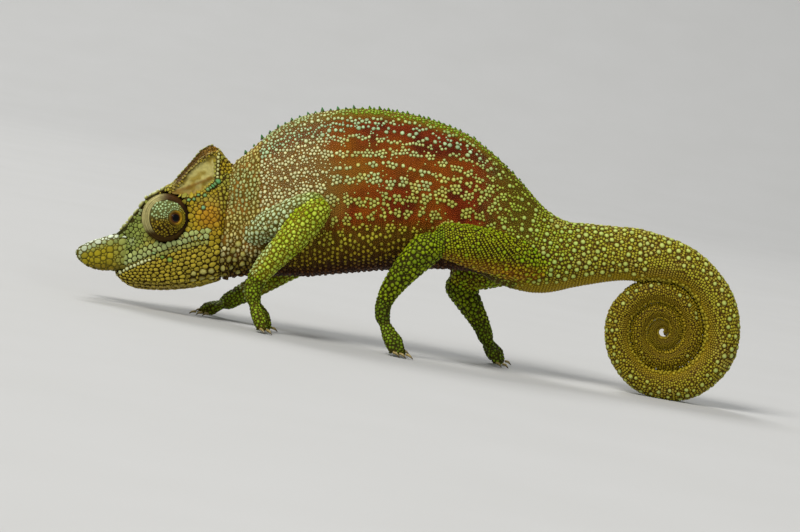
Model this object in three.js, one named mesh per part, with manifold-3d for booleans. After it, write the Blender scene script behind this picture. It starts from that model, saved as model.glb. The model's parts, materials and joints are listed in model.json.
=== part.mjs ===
// A life-size two-horned chameleon standing on a level floor with its tail coiled behind it.
// Millimetres, +Z up, head towards -X, the animal's left side towards -Y.
// The body is drawn in its own side plane (x along the back, z up) and the finished group is pitched
// nose-down until the toes and the tail's coil stand on one floor.
import * as THREE from "three";
import { mergeVertices } from "three/addons/utils/BufferGeometryUtils.js";
import Module from "manifold-3d";

const wasm = await Module();
wasm.setup();

// ---------------------------------------------------------------------------------------------
// Driving dimensions
// ---------------------------------------------------------------------------------------------
const PITCH = THREE.MathUtils.degToRad(10); // nose-down pitch of the body's own plane over the floor
const FLOOR_UNDER_ORIGIN = 8.27; // depth of the floor under the body plane's origin
const SEAM = 0.2; // clear gap between neighbouring pieces
const TAIL_LIFT = THREE.MathUtils.degToRad(21.7); // how far the tail swings up to bring the coil to the floor
const TAIL_ROOT = new THREE.Vector2(20.3, 8.0);
const COIL_CENTRE = new THREE.Vector2(34.84, -11.7); // before the tail is lifted
const COIL_END_TURN = 3.3; // turns of tail inside the coil
const COIL_GAP = 0.31; // space between one turn and the next
const NECK_END = 1.55; // station index where the neck meets the trunk
const TRUNK_END = 8.6; // station index where the trunk meets the tail
const SKIN_GREEN = 0x7f8f35;
const HORN_OLIVE = 0x9a8a33;
const CLAW_HORN = 0x8a7a5a;

// Outer radius of the tail's coil at each eighth of a turn, one row to a turn, from its widest point inwards.
const RIBS_PER_TURN = 8;
const COIL_LEAD = 1 / RIBS_PER_TURN; // share of a turn before the coil's foremost point
const COIL_RADII = [
  [13.5, 12.2, 11.9, 11.3, 10.1, 9.2, 9.0, 8.5],
  [7.3, 6.2, 6.15, 6.1, 5.7, 5.2, 5.0, 4.7],
  [3.9, 3.1, 3.0, 2.95, 2.75, 2.45, 2.25, 2.0],
  [1.5, 1.0, 0.85, 0.8, 0.7, 0.6, 0.5, 0.4],
  [0.3, 0.2, 0.1, 0.0, -0.05, -0.1],
].flat();

// Ribs of neck, trunk and tail root: centre (x, z), half height h, half width w, and how far the rib
// leans towards the tail, in degrees.
const BODY_RIBS = [
  { x: -28.0, z: 12.2, h: 9.2, w: 4.3, lean: 0 },
  { x: -25.0, z: 12.9, h: 9.4, w: 4.7, lean: 0 },
  { x: -20.0, z: 15.0, h: 11.4, w: 5.8, lean: 0 },
  { x: -14.1, z: 16.3, h: 12.8, w: 6.5, lean: 0 },
  { x: -6.3, z: 17.1, h: 12.9, w: 6.8, lean: 0 },
  { x: 1.6, z: 16.9, h: 12.2, w: 6.7, lean: 0 },
  { x: 9.4, z: 15.5, h: 11.0, w: 6.0, lean: 0 },
  { x: 13.5, z: 13.8, h: 9.7, w: 5.5, lean: 8, lift: 0.1 },
  { x: 16.8, z: 11.1, h: 8.4, w: 5.0, lean: 18, lift: 0.2 },
  { x: 20.3, z: 8.0, h: 6.9, w: 4.5, lean: 28, lift: 0.4 },
  { x: 23.7, z: 5.75, h: 6.05, w: 4.1, lean: 33, lift: 0.66 },
  { x: 27.8, z: 4.2, h: 5.15, w: 3.6, lean: 33, lift: 0.9 },
  { x: 32.0, z: 2.4, h: 4.4, w: 3.2, lean: 30, lift: 1 },
  { x: 35.9, z: 0.6, h: 4.05, w: 3.0, lean: 33, lift: 1 },
];

// Ribs of the head from lips to nape. Each names the height of the mid crest and chin, and (y, z) of the
// canthal ridge and casque edge, the temple, the cheek, the upper lip and the lower edge of the jaw.
const HEAD_RIBS = [
  { x: -45.5, crest: 9.0, ridge: [1.2, 9.2], temple: [1.7, 8.5], cheek: [1.9, 7.5], lip: [1.3, 5.7], jaw: [0.8, 5.1], chin: 5.0 },
  { x: -44.8, crest: 9.7, ridge: [2.2, 10.3], temple: [2.6, 8.9], cheek: [2.8, 7.8], lip: [2.0, 5.0], jaw: [1.2, 4.4], chin: 4.3 },
  { x: -43.7, crest: 10.3, ridge: [2.6, 11.0], temple: [2.9, 9.4], cheek: [3.1, 8.1], lip: [2.6, 4.8], jaw: [2.0, 3.6], chin: 3.0 },
  { x: -42.0, crest: 11.6, ridge: [2.9, 12.4], temple: [3.2, 10.3], cheek: [3.4, 8.5], lip: [3.3, 5.5], jaw: [2.6, 3.1], chin: 1.9 },
  { x: -39.7, crest: 15.3, ridge: [3.4, 15.8], temple: [3.5, 13.5], cheek: [3.8, 9.8], lip: [4.1, 6.6], jaw: [3.3, 3.0], chin: 1.5 },
  { x: -36.7, crest: 17.3, ridge: [3.7, 17.4], temple: [3.9, 14.7], cheek: [4.4, 10.4], lip: [4.8, 7.8], jaw: [3.9, 3.0], chin: 1.45 },
  { x: -33.7, crest: 20.6, ridge: [3.3, 19.2], temple: [4.5, 15.3], cheek: [5.0, 11.8], lip: [5.3, 8.6], jaw: [4.2, 3.1], chin: 1.6 },
  { x: -30.8, crest: 23.9, ridge: [2.3, 22.0], temple: [4.5, 16.4], cheek: [5.3, 13.0], lip: [5.4, 9.4], jaw: [4.3, 3.5], chin: 2.1 },
  { x: -28.7, crest: 24.4, ridge: [1.4, 23.2], temple: [3.6, 18.0], cheek: [5.1, 13.7], lip: [5.3, 9.7], jaw: [4.2, 3.9], chin: 2.7 },
  { x: -26.6, crest: 21.8, ridge: [1.7, 20.6], temple: [3.3, 17.3], cheek: [4.6, 13.7], lip: [4.8, 9.5], jaw: [3.8, 4.3], chin: 3.3 },
];
const HEAD_LINES = ["crest", "ridge", "temple", "cheek", "lip", "jaw", "chin"];
const MOUTH_LINE = [[-46.5, 3.6], [-44.4, 4.5], [-42.0, 5.7], [-39.0, 7.0], [-35.5, 8.3], [-32.0, 9.3], [-25.0, 10.2]];
const CASQUE_LINE = [[-36.2, 17.0], [-31.4, 18.0], [-28.6, 17.0], [-26.0, 15.0]];

const HORN = { base: -43.2, tip: -50.4, spread: 2.05, flare: 0.4 };
const EYE = { x: -36.25, y: 3.45, z: 12.95, lid: 3.85, ball: 3.1, wall: 0.45, flat: 2.6, pupil: 0.78 };
const GAZE_BACK = THREE.MathUtils.degToRad(30); // both eyes look back and a little up
const CREST = { from: -24.2, to: 11, first: 0.95, last: 0.3, spacing: 1.85 };

// Limb joints in the body's side plane. Each point is [x, y outwards, z, radius].
const LIMBS = {
  arm_left: {
    side: -1,
    upper: [[-24.6, 1.6, 9.4, 2.0], [-22.0, 3.6, 10.7, 2.6], [-18.2, 6.4, 13.0, 2.4], [-13.9, 8.0, 15.1, 2.15],
      [-11.7, 8.5, 15.5, 1.9]],
    lower: [[-11.3, 9.0, 15.3, 2.1], [-13.7, 9.3, 13.2, 2.5], [-16.4, 9.3, 10.0, 2.4], [-19.3, 8.9, 7.1, 2.1],
      [-21.8, 8.3, 4.1, 1.7], [-22.6, 8.0, 1.6, 1.55], [-22.3, 7.8, -0.3, 1.4]],
    foot: { x: -21.3, y: 7.7, heading: 0.25, out: 2, reach: 2.9 },
  },
  arm_right: {
    side: 1,
    upper: [[-24.6, 1.6, 9.4, 2.0], [-22.0, 3.6, 10.3, 2.6], [-18.0, 6.2, 9.4, 2.4], [-14.8, 8.4, 8.3, 2.15],
      [-12.9, 9.0, 7.6, 1.9]],
    lower: [[-12.8, 9.3, 7.3, 2.05], [-15.0, 9.4, 6.1, 2.4], [-18.4, 8.6, 4.4, 2.3], [-22.0, 7.3, 2.3, 2.0],
      [-25.2, 6.3, 0.5, 1.65], [-27.0, 5.9, -0.4, 1.5], [-28.2, 5.7, -1.2, 1.35]],
    foot: { x: -30.0, y: 5.5, heading: -0.9, out: 2, reach: 3.0 },
  },
  leg_left: {
    side: -1,
    upper: [[22.6, 1.4, 5.2, 2.6], [18.6, 3.0, 6.3, 3.5], [14.6, 5.4, 7.6, 3.5], [10.2, 7.4, 8.9, 3.35],
      [6.8, 8.3, 9.8, 2.8], [5.4, 8.5, 10.0, 2.3]],
    lower: [[5.6, 9.0, 9.8, 2.7], [3.6, 9.3, 7.9, 2.7], [1.1, 9.0, 5.3, 2.3], [-1.0, 8.5, 2.7, 1.85],
      [-2.2, 8.1, 0.6, 1.5], [-2.7, 7.9, -1.6, 1.4], [-2.2, 7.8, -3.5, 1.3]],
    foot: { x: -0.5, y: 7.7, heading: 0.3, out: 3, reach: 3.0 },
  },
  leg_right: {
    side: 1,
    upper: [[22.6, 1.4, 5.0, 2.6], [18.6, 3.0, 5.9, 3.5], [15.4, 5.8, 5.0, 3.4], [11.9, 8.2, 4.0, 3.1],
      [9.3, 9.2, 3.3, 2.6], [8.2, 9.4, 3.1, 2.1]],
    lower: [[8.4, 9.7, 3.1, 2.5], [9.9, 9.7, 0.8, 2.5], [11.4, 9.1, -1.9, 2.0], [12.8, 8.6, -4.4, 1.6],
      [13.4, 8.3, -6.0, 1.45], [13.9, 8.1, -7.5, 1.3]],
    foot: { x: 15.0, y: 8.0, heading: 0.5, out: 3, reach: 3.0 },
  },
};
const WRIST = 2; // points past the wrist or ankle in each lower limb
const TOES_PER_FOOT = 5;
const TOE = { root: 0.95, knee: 0.82, tip: 0.66, press: 0.14, spacing: 0.98, claw: 1.2, clawRoot: 0.33 };

// ---------------------------------------------------------------------------------------------
// Shape tools
// ---------------------------------------------------------------------------------------------
/** Height of the floor in the body's side plane, under a point x along the body. */
function floorUnder(x) {
  return -FLOOR_UNDER_ORIGIN - x * Math.tan(PITCH);
}

/** A closed mesh as a manifold solid. */
function solidOf(geometry) {
  const bare = new THREE.BufferGeometry();
  bare.setAttribute("position", geometry.getAttribute("position"));
  bare.setIndex(geometry.getIndex());
  const merged = mergeVertices(bare, 1e-4);
  const made = new wasm.Manifold(
    new wasm.Mesh({
      numProp: 3,
      vertProperties: new Float32Array(merged.getAttribute("position").array),
      triVerts: new Uint32Array(merged.getIndex().array),
    }),
  );
  return made;
}

/** A manifold solid as a three.js geometry. */
function geometryOf(solid) {
  const data = solid.getMesh();
  const positions = new Float32Array(data.numVert * 3);
  for (let i = 0; i < data.numVert; i++) {
    const start = i * data.numProp;
    positions.set(data.vertProperties.subarray(start, start + 3), i * 3);
  }
  const geometry = new THREE.BufferGeometry();
  geometry.setAttribute("position", new THREE.BufferAttribute(positions, 3));
  geometry.setIndex(new THREE.BufferAttribute(new Uint32Array(data.triVerts), 1));
  geometry.computeVertexNormals();
  return geometry;
}

/** The largest body of a solid that a cut may have left in pieces. */
function largest(solid) {
  const bodies = solid.decompose();
  return bodies.reduce((best, body) => (body.volume() > best.volume() ? body : best));
}

/** A cylinder's wall and caps moved onto the surface that pointAt(t, angle, reach) describes. */
function warpedCylinder(sides, steps, pointAt) {
  const geometry = new THREE.CylinderGeometry(1, 1, 1, sides, steps);
  const position = geometry.getAttribute("position");
  const vertex = new THREE.Vector3();
  for (let i = 0; i < position.count; i++) {
    vertex.fromBufferAttribute(position, i);
    const reach = Math.min(1, Math.hypot(vertex.x, vertex.z));
    const place = pointAt(0.5 - vertex.y, Math.atan2(vertex.x, vertex.z), reach);
    position.setXYZ(i, place.x, place.y, place.z);
  }
  return solidOf(geometry);
}

/** Catmull-Rom value through a list at a fractional index. */
function splineValue(values, index) {
  const last = values.length - 1;
  const i = Math.min(last - 1, Math.max(0, Math.floor(index)));
  const f = index - i;
  const at = (k) => values[Math.min(last, Math.max(0, k))];
  const [a, b, c, d] = [at(i - 1), at(i), at(i + 1), at(i + 2)];
  return b + 0.5 * f * (c - a + f * (2 * a - 5 * b + 4 * c - d + f * (3 * (b - c) + d - a)));
}

/**
 * A round tube through [x, y, z, radius] points. It runs over the share of them between `from` and `to`;
 * an end of the whole tube is domed and an end inside it is flat.
 */
function roundTube(points, { sides = 10, steps = 6, grow = 0, dome = 0.3, from = 0, to = 1 } = {}) {
  const curve = new THREE.CatmullRomCurve3(points.map(([x, y, z]) => new THREE.Vector3(x, y, z)));
  const radii = points.map((point) => point[3]);
  const chord = curve.getPoint(1).sub(curve.getPoint(0));
  const flattest = Math.min(Math.abs(chord.x), Math.abs(chord.y), Math.abs(chord.z));
  const reference = new THREE.Vector3(...chord.toArray().map((part) => (Math.abs(part) === flattest ? 1 : 0)));
  return warpedCylinder(sides, steps, (share, angle, reach) => {
    const t = from + (to - from) * share;
    const tangent = curve.getTangent(t);
    const side = new THREE.Vector3().crossVectors(reference, tangent).normalize();
    const up = new THREE.Vector3().crossVectors(tangent, side);
    const domed = (share < 0.5 ? from === 0 : to === 1) ? dome : 0;
    const end = Math.min(1, Math.min(share, 1 - share) * steps);
    const full = splineValue(radii, t * (radii.length - 1)) + grow;
    const radius = full * (1 - domed * (1 - end)) * reach;
    const bulge = (1 - reach) * (share < 0.5 ? -1 : 1) * domed * full;
    return curve
      .getPoint(t)
      .addScaledVector(side, radius * Math.sin(angle))
      .addScaledVector(up, radius * Math.cos(angle))
      .addScaledVector(tangent, bulge);
  });
}

/** A prism across the whole body over an outline of [x, z] points in its side plane. */
function sidePrism(outline, halfWidth = 20) {
  const shape = new THREE.Shape(outline.map(([x, z]) => new THREE.Vector2(x, z)));
  const geometry = new THREE.ExtrudeGeometry(shape, { depth: 2 * halfWidth, bevelEnabled: false });
  geometry.rotateX(Math.PI / 2);
  geometry.translate(0, halfWidth, 0);
  return solidOf(geometry);
}

// ---------------------------------------------------------------------------------------------
// Neck, trunk and tail
// ---------------------------------------------------------------------------------------------
/** A point of the side plane swung up with the tail by a share of its lift. */
function lifted(x, z, share) {
  return new THREE.Vector2(x, z).rotateAround(TAIL_ROOT, TAIL_LIFT * share);
}

const coilCentre = lifted(COIL_CENTRE.x, COIL_CENTRE.y, 1);

/** Rib of the coil after a number of turns: centre, up direction, half height and half width. */
function coilRib(turn) {
  const outer = splineValue(COIL_RADII, (turn + COIL_LEAD) * RIBS_PER_TURN);
  const inner = splineValue(COIL_RADII, (turn + COIL_LEAD + 1) * RIBS_PER_TURN) + COIL_GAP;
  const h = Math.max(0.28, (outer - inner) / 2);
  const angle = TAIL_LIFT - turn * 2 * Math.PI;
  const up = new THREE.Vector2(Math.cos(angle), Math.sin(angle));
  const centre = coilCentre.clone().addScaledVector(up, outer - h);
  return { centre, up, h, w: 2.75 * Math.pow(0.66, turn) };
}

/** Ribs of the whole body in order: those listed, then the coil's, eight to a turn. */
const ribs = BODY_RIBS.map(({ x, z, h, w, lean, lift = 0 }) => {
  const angle = Math.PI / 2 - THREE.MathUtils.degToRad(lean) + TAIL_LIFT * lift;
  return { centre: lifted(x, z, lift), up: new THREE.Vector2(Math.cos(angle), Math.sin(angle)), h, w };
});
const COIL_FIRST_RIB = ribs.length;
for (let turn = -COIL_LEAD; turn <= COIL_END_TURN; turn += 1 / RIBS_PER_TURN) {
  ribs.push(coilRib(turn));
}

/** Interpolated rib at a fractional index. */
function ribAt(index) {
  const value = (pick) => splineValue(ribs.map(pick), index);
  return {
    centre: new THREE.Vector2(value((r) => r.centre.x), value((r) => r.centre.y)),
    up: new THREE.Vector2(value((r) => r.up.x), value((r) => r.up.y)).normalize(),
    h: value((r) => r.h),
    w: value((r) => r.w),
  };
}

/** How much narrower a rib is towards the back's keel than towards the belly: most on the trunk. */
function keel(index) {
  const trunkShare = Math.exp(-Math.pow((index - 5) / 3.2, 2));
  return 0.05 + 0.2 * trunkShare;
}

/** A length of the body between two rib indices, optionally grown on every side. */
function bodyLength(from, to, { sides, steps, grow = 0 }) {
  return warpedCylinder(sides, steps, (t, angle, reach) => {
    const index = from + (to - from) * t;
    const rib = ribAt(index);
    const narrowing = 1 - keel(index) * Math.cos(angle);
    const across = (rib.w + grow) * Math.sin(angle) * narrowing * reach;
    const along = (rib.h + grow) * Math.cos(angle) * reach;
    return new THREE.Vector3(rib.centre.x + rib.up.x * along, across, rib.centre.y + rib.up.y * along);
  });
}

/** Index of the rib where the body has gone on by SEAM from an index. */
function pastSeam(index) {
  const here = ribAt(index).centre;
  let next = index;
  while (ribAt(next).centre.distanceTo(here) < SEAM) next += 0.002;
  return next;
}

/** The row of small cones along the front of the back. */
function dorsalCones() {
  const cones = [];
  const count = Math.round((CREST.to - CREST.from) / CREST.spacing);
  for (let k = 0; k <= count; k++) {
    const share = k / count;
    const x = CREST.from + (CREST.to - CREST.from) * share;
    const height = CREST.first + (CREST.last - CREST.first) * share;
    let index = 0.5;
    while (ribAt(index).centre.x < x) index += 0.01;
    const rib = ribAt(index);
    const cone = new THREE.ConeGeometry(0.25 + height * 0.45, height + 0.7, 5);
    cone.rotateX(Math.PI / 2);
    cone.translate(x, 0, rib.centre.y + rib.h + (height - 0.7) / 2);
    cones.push(solidOf(cone));
  }
  return wasm.Manifold.union(cones);
}

// ---------------------------------------------------------------------------------------------
// Head
// ---------------------------------------------------------------------------------------------
/** The head skinned over its ribs, optionally grown on every side. */
function headShape(grow = 0) {
  const lines = HEAD_LINES.map((line) =>
    HEAD_RIBS.map((rib) => (Array.isArray(rib[line]) ? rib[line] : [0, rib[line]])),
  );
  const centreZ = HEAD_RIBS.map((rib) => (rib.crest + rib.chin) / 2);
  return warpedCylinder(24, 13, (t, angle, reach) => {
    const index = t * (HEAD_RIBS.length - 1);
    const x = splineValue(HEAD_RIBS.map((rib) => rib.x), index) + grow * (2 * t - 1);
    const ys = lines.map((line) => splineValue(line.map((point) => point[0]), index));
    const zs = lines.map((line) => splineValue(line.map((point) => point[1]), index));
    const around = (Math.abs(angle) / Math.PI) * (lines.length - 1);
    const y = Math.max(0, splineValue(ys, around));
    const z = splineValue(zs, around);
    const middle = splineValue(centreZ, index);
    const scale = (1 + grow / Math.max(2, Math.hypot(y, z - middle))) * reach;
    return new THREE.Vector3(x, Math.sign(angle) * y * scale, middle + (z - middle) * scale);
  });
}

/** One of the two scaly rostral horns: a deep, narrow blade with a blunt round end. */
function hornShape(side, grow = 0) {
  const shape = [[0, 3.0, 1.1], [0.34, 2.75, 1.15], [0.62, 2.3, 1.05], [0.84, 1.6, 0.85], [0.96, 0.85, 0.5], [1, 0.35, 0.2]];
  const share = shape.map((row) => row[0]);
  return warpedCylinder(10, 7, (t, angle, reach) => {
    const index = t * (shape.length - 1);
    const s = splineValue(share, index);
    const h = splineValue(shape.map((row) => row[1]), index) + grow;
    const w = splineValue(shape.map((row) => row[2]), index) + grow;
    const x = HORN.base + (HORN.tip - HORN.base) * s - grow * t;
    const y = side * (HORN.spread + HORN.flare * s);
    const z = 7.75 - 0.9 * Math.sin(Math.PI * s * 0.8) * 0.6;
    return new THREE.Vector3(x, y - w * Math.sin(angle) * reach, z + h * Math.cos(angle) * reach);
  });
}

/** A solid of revolution laid along an eye's line of sight. */
function onEyeAxis(profile, side, segments) {
  const geometry = new THREE.LatheGeometry(profile.map(([r, y]) => new THREE.Vector2(r, y)), segments);
  const gaze = new THREE.Vector3(Math.sin(GAZE_BACK), side * Math.cos(GAZE_BACK), 0.03).normalize();
  const turn = new THREE.Quaternion().setFromUnitVectors(new THREE.Vector3(0, 1, 0), gaze);
  geometry.applyQuaternion(turn);
  geometry.translate(EYE.x, side * EYE.y, EYE.z);
  return solidOf(geometry);
}

/** Points of an arc from the back pole towards the front, flattened behind the centre. */
function ballArc(radius, flat, toAngle, count) {
  const points = [];
  for (let k = 0; k <= count; k++) {
    const angle = -Math.PI / 2 + (toAngle + Math.PI / 2) * (k / count);
    points.push([radius * Math.cos(angle), (angle < 0 ? flat : radius) * Math.sin(angle)]);
  }
  return points;
}

/** The scaly turret of an eye: one lid all round the ball, open at the pupil. */
function turretShape(side) {
  const rimAngle = Math.acos((EYE.pupil + 0.5) / EYE.lid);
  const outer = ballArc(EYE.lid, EYE.flat, rimAngle, 7);
  const inner = ballArc(EYE.lid - EYE.wall, EYE.flat - EYE.wall, Math.acos(EYE.pupil / (EYE.lid - EYE.wall)), 5);
  const rim = [[EYE.pupil + 0.28, EYE.lid * 0.995]];
  return onEyeAxis([...outer, ...rim, ...inner.reverse()].map(([r, y]) => [Math.max(0, r), y]), side, 14);
}

/** The socket that a turret sits in. */
function socketShape(side) {
  const profile = ballArc(EYE.lid + SEAM, EYE.flat + SEAM, Math.PI / 2, 6);
  return onEyeAxis(profile.map(([r, y]) => [Math.max(0, r), y]), side, 14);
}

/** The ball inside a turret. */
function ballShape(side) {
  const profile = ballArc(EYE.ball, EYE.flat - EYE.wall - SEAM, Math.PI / 2, 6);
  return onEyeAxis(profile.map(([r, y]) => [Math.max(0, r), y]), side, 14);
}

// ---------------------------------------------------------------------------------------------
// Feet
// ---------------------------------------------------------------------------------------------
/** Toes of one foot: two bundles that straddle the palm's line, as [root, knee, tip] points. */
function toesOf(limb) {
  const { side, lower, foot } = limb;
  const [kx, ky, kz] = lower[lower.length - 1];
  const toes = [];
  for (let k = 0; k < TOES_PER_FOOT; k++) {
    const outer = k < foot.out;
    const inBundle = outer ? foot.out : TOES_PER_FOOT - foot.out;
    const rank = (outer ? k : k - foot.out) - (inBundle - 1) / 2;
    const away = outer ? 1 : -1;
    const x = foot.x + rank * TOE.spacing + foot.heading * 0.9;
    const y = foot.y + away * foot.reach - Math.abs(rank) * away * 0.2;
    const tip = [x, y, floorUnder(x) + TOE.tip - TOE.press];
    const root = [kx + rank * 0.45, ky + away * 0.55, kz + 0.2];
    const knee = [
      root[0] * 0.42 + tip[0] * 0.58 + rank * 0.12,
      root[1] * 0.42 + tip[1] * 0.58 + away * 0.3,
      root[2] * 0.42 + tip[2] * 0.58 + 0.45,
    ];
    toes.push({ root, knee, tip, away, side });
  }
  return toes.map((toe) => ({
    ...toe,
    root: [toe.root[0], toe.side * toe.root[1], toe.root[2]],
    knee: [toe.knee[0], toe.side * toe.knee[1], toe.knee[2]],
    tip: [toe.tip[0], toe.side * toe.tip[1], toe.tip[2]],
  }));
}

/** A limb's points with y on the limb's own side. */
function sided(limb, points) {
  return points.map(([x, y, z, r]) => [x, limb.side * y, z, r]);
}

/** Share of the lower limb above the wrist or ankle. */
function wristShare(limb) {
  return 1 - WRIST / (limb.lower.length - 1);
}

/** The fused flesh of one foot: palm and toes. */
function footFlesh(limb) {
  const parts = toesOf(limb).map(({ root, knee, tip }) =>
    roundTube([[...root, TOE.root], [...knee, TOE.knee], [...tip, TOE.tip]], { sides: 6, steps: 2 }),
  );
  const gap = SEAM / 20;
  parts.push(roundTube(sided(limb, limb.lower), { steps: 3, from: wristShare(limb) + gap }));
  return wasm.Manifold.union(parts);
}

/** The claw past a toe's tip: a short cone that curves down to just above the floor. */
function clawShape({ knee, tip }) {
  const ahead = new THREE.Vector3(tip[0] - knee[0], tip[1] - knee[1], 0).normalize();
  const start = new THREE.Vector3(...tip).addScaledVector(ahead, TOE.tip * 0.55);
  start.z += 0.12;
  const end = start.clone().addScaledVector(ahead, TOE.claw);
  end.z = floorUnder(end.x) + 0.2;
  const middle = start.clone().lerp(end, 0.5);
  middle.z = start.z * 0.55 + end.z * 0.45 + 0.22;
  return roundTube(
    [[...start.toArray(), TOE.clawRoot], [...middle.toArray(), 0.25], [...end.toArray(), 0.1]],
    { sides: 5, steps: 2, dome: 0.2 },
  );
}

// ---------------------------------------------------------------------------------------------
// Assembly
// ---------------------------------------------------------------------------------------------
const model = new THREE.Group();
model.rotation.y = -PITCH;
const skin = new THREE.MeshStandardMaterial({ color: SKIN_GREEN, roughness: 0.75, metalness: 0 });
const hornSkin = new THREE.MeshStandardMaterial({ color: HORN_OLIVE, roughness: 0.7, metalness: 0 });
const claw = new THREE.MeshStandardMaterial({ color: CLAW_HORN, roughness: 0.4, metalness: 0 });
const eyeball = new THREE.MeshStandardMaterial({ color: 0x140c06, roughness: 0.08, metalness: 0 });

/** Adds one named piece to the model. */
function addPiece(name, solid, material) {
  const mesh = new THREE.Mesh(geometryOf(largest(solid)), material);
  mesh.name = name;
  model.add(mesh);
}

/** Everything below the floor, in the body's side plane. */
const underFloor = sidePrism([
  [-70, floorUnder(-70)],
  [-70, floorUnder(-70) - 30],
  [80, floorUnder(80) - 30],
  [80, floorUnder(80)],
], 40);

function addHead() {
  const sockets = wasm.Manifold.union([socketShape(-1), socketShape(1)]);
  const whole = headShape().subtract(sockets);
  const below = [...MOUTH_LINE, [-25, -4], [-50, -4]];
  const belowGrown = [...MOUTH_LINE.map(([x, z]) => [x, z + SEAM]), [-24, -5], [-51, -5]];
  const above = [...CASQUE_LINE, [-24, 30], [-40, 30]];
  const aboveGrown = [...CASQUE_LINE.map(([x, z]) => [x, z - SEAM]), [-23, 31], [-41, 31]];
  const horns = wasm.Manifold.union([hornShape(-1, SEAM), hornShape(1, SEAM)]);
  addPiece("lower_jaw", whole.intersect(sidePrism(below)).subtract(horns), skin);
  addPiece("casque", whole.intersect(sidePrism(above)), skin);
  addPiece("head", whole.subtract(sidePrism(belowGrown)).subtract(sidePrism(aboveGrown)).subtract(horns), skin);
  for (const [side, label] of [[-1, "left"], [1, "right"]]) {
    addPiece(`horn_${label}`, hornShape(side), hornSkin);
    addPiece(`turret_${label}`, turretShape(side), skin);
    addPiece(`eye_${label}`, ballShape(side), eyeball);
  }
}

function addBody() {
  const neck = bodyLength(0, NECK_END, { sides: 20, steps: 3 });
  const trunk = bodyLength(pastSeam(NECK_END), TRUNK_END, { sides: 20, steps: 10 });
  addPiece("neck", neck.subtract(headShape(SEAM)), skin);
  addPiece("trunk", trunk.subtract(headShape(SEAM)).add(dorsalCones().trimByPlane([1, 0, 0], -20.5)), skin);
  const rootEnd = COIL_FIRST_RIB - 0.6;
  const cuts = [TRUNK_END, rootEnd, rootEnd + 6, rootEnd + 12, rootEnd + 18, ribs.length - 1];
  const names = ["tail_root", "tail_coil_outer", "tail_coil_middle", "tail_coil_inner", "tail_tip"];
  const sides = [16, 12, 12, 10, 8];
  const steps = [5, 14, 12, 12, 12];
  let done = underFloor;
  names.forEach((name, k) => {
    const detail = { sides: sides[k], steps: steps[k] };
    addPiece(name, bodyLength(pastSeam(cuts[k]), cuts[k + 1], detail).subtract(done), skin);
    done = done.add(bodyLength(cuts[k], cuts[k + 1], { ...detail, grow: SEAM / 2 }));
  });
}

function addLimbs() {
  const bodyGrown = bodyLength(0, TRUNK_END + 3, { sides: 20, steps: 12, grow: SEAM + 0.05 });
  const names = { arm: ["upper_arm", "forearm", "hand"], leg: ["thigh", "shank", "foot"] };
  for (const [name, limb] of Object.entries(LIMBS)) {
    const [kind, label] = name.split("_");
    const [upperName, lowerName, footName] = names[kind].map((part) => `${part}_${label}`);
    const lowerPoints = sided(limb, limb.lower);
    const upper = roundTube(sided(limb, limb.upper), { steps: 7 });
    const lower = roundTube(lowerPoints, { to: wristShare(limb) });
    const lowerGrown = roundTube(lowerPoints, { to: wristShare(limb), grow: SEAM });
    const flesh = footFlesh(limb);
    addPiece(upperName, upper.subtract(bodyGrown).subtract(lowerGrown), skin);
    addPiece(lowerName, lower.subtract(bodyGrown), skin);
    addPiece(footName, flesh.subtract(underFloor), skin);
    toesOf(limb).forEach((toe, k) => {
      addPiece(`claw_${kind}_${label}_${k + 1}`, clawShape(toe).subtract(flesh).subtract(underFloor), claw);
    });
  }
}

addHead();
addBody();
addLimbs();

// The part's origin is under the middle of its outline, on the floor.
model.updateMatrixWorld(true);
const outline = new THREE.Box3().setFromObject(model, true);
const middle = outline.getCenter(new THREE.Vector3());
model.position.set(-middle.x, -middle.y, -outline.min.z);

export default model;
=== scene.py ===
"""A life-size two-horned chameleon: one scaled skin, its eyes, horns and claws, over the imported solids."""

import json
import logging
import math
from collections.abc import Callable
from dataclasses import dataclass, field
from enum import Enum, IntEnum
from itertools import product

import bpy
import numpy as np
from mathutils import Matrix, Vector
from mathutils.bvhtree import BVHTree
from mathutils.kdtree import KDTree

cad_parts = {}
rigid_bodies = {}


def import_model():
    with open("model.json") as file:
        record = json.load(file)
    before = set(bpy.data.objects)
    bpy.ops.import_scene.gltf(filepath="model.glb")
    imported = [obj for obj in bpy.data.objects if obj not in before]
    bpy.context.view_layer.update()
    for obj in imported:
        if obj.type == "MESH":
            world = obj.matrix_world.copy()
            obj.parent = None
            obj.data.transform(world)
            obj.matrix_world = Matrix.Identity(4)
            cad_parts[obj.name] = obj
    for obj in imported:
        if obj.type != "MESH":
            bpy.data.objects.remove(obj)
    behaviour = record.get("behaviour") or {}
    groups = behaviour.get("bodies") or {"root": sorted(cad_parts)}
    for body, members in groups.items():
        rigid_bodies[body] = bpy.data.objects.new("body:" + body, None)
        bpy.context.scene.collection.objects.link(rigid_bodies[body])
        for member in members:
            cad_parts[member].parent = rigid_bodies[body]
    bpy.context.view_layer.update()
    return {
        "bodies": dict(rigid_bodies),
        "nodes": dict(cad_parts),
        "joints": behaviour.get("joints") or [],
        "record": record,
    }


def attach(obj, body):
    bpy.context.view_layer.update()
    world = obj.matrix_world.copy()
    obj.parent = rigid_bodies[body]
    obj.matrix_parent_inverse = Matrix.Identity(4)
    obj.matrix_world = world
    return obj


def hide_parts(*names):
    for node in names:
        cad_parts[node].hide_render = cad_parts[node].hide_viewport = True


log = logging.getLogger("chameleon")

MM = 0.001
ROOT = "root"
BAKE_MAP = "OFBake"
BAKE_PATCH = 0.003
TINT = "tint"
PIECE_TRIANGLES = 185_000
# Least height of skin and of scales over the floor, in metres
FLOOR_GAP = 0.02 * MM
COAT_FLOOR_GAP = 0.01 * MM
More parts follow.
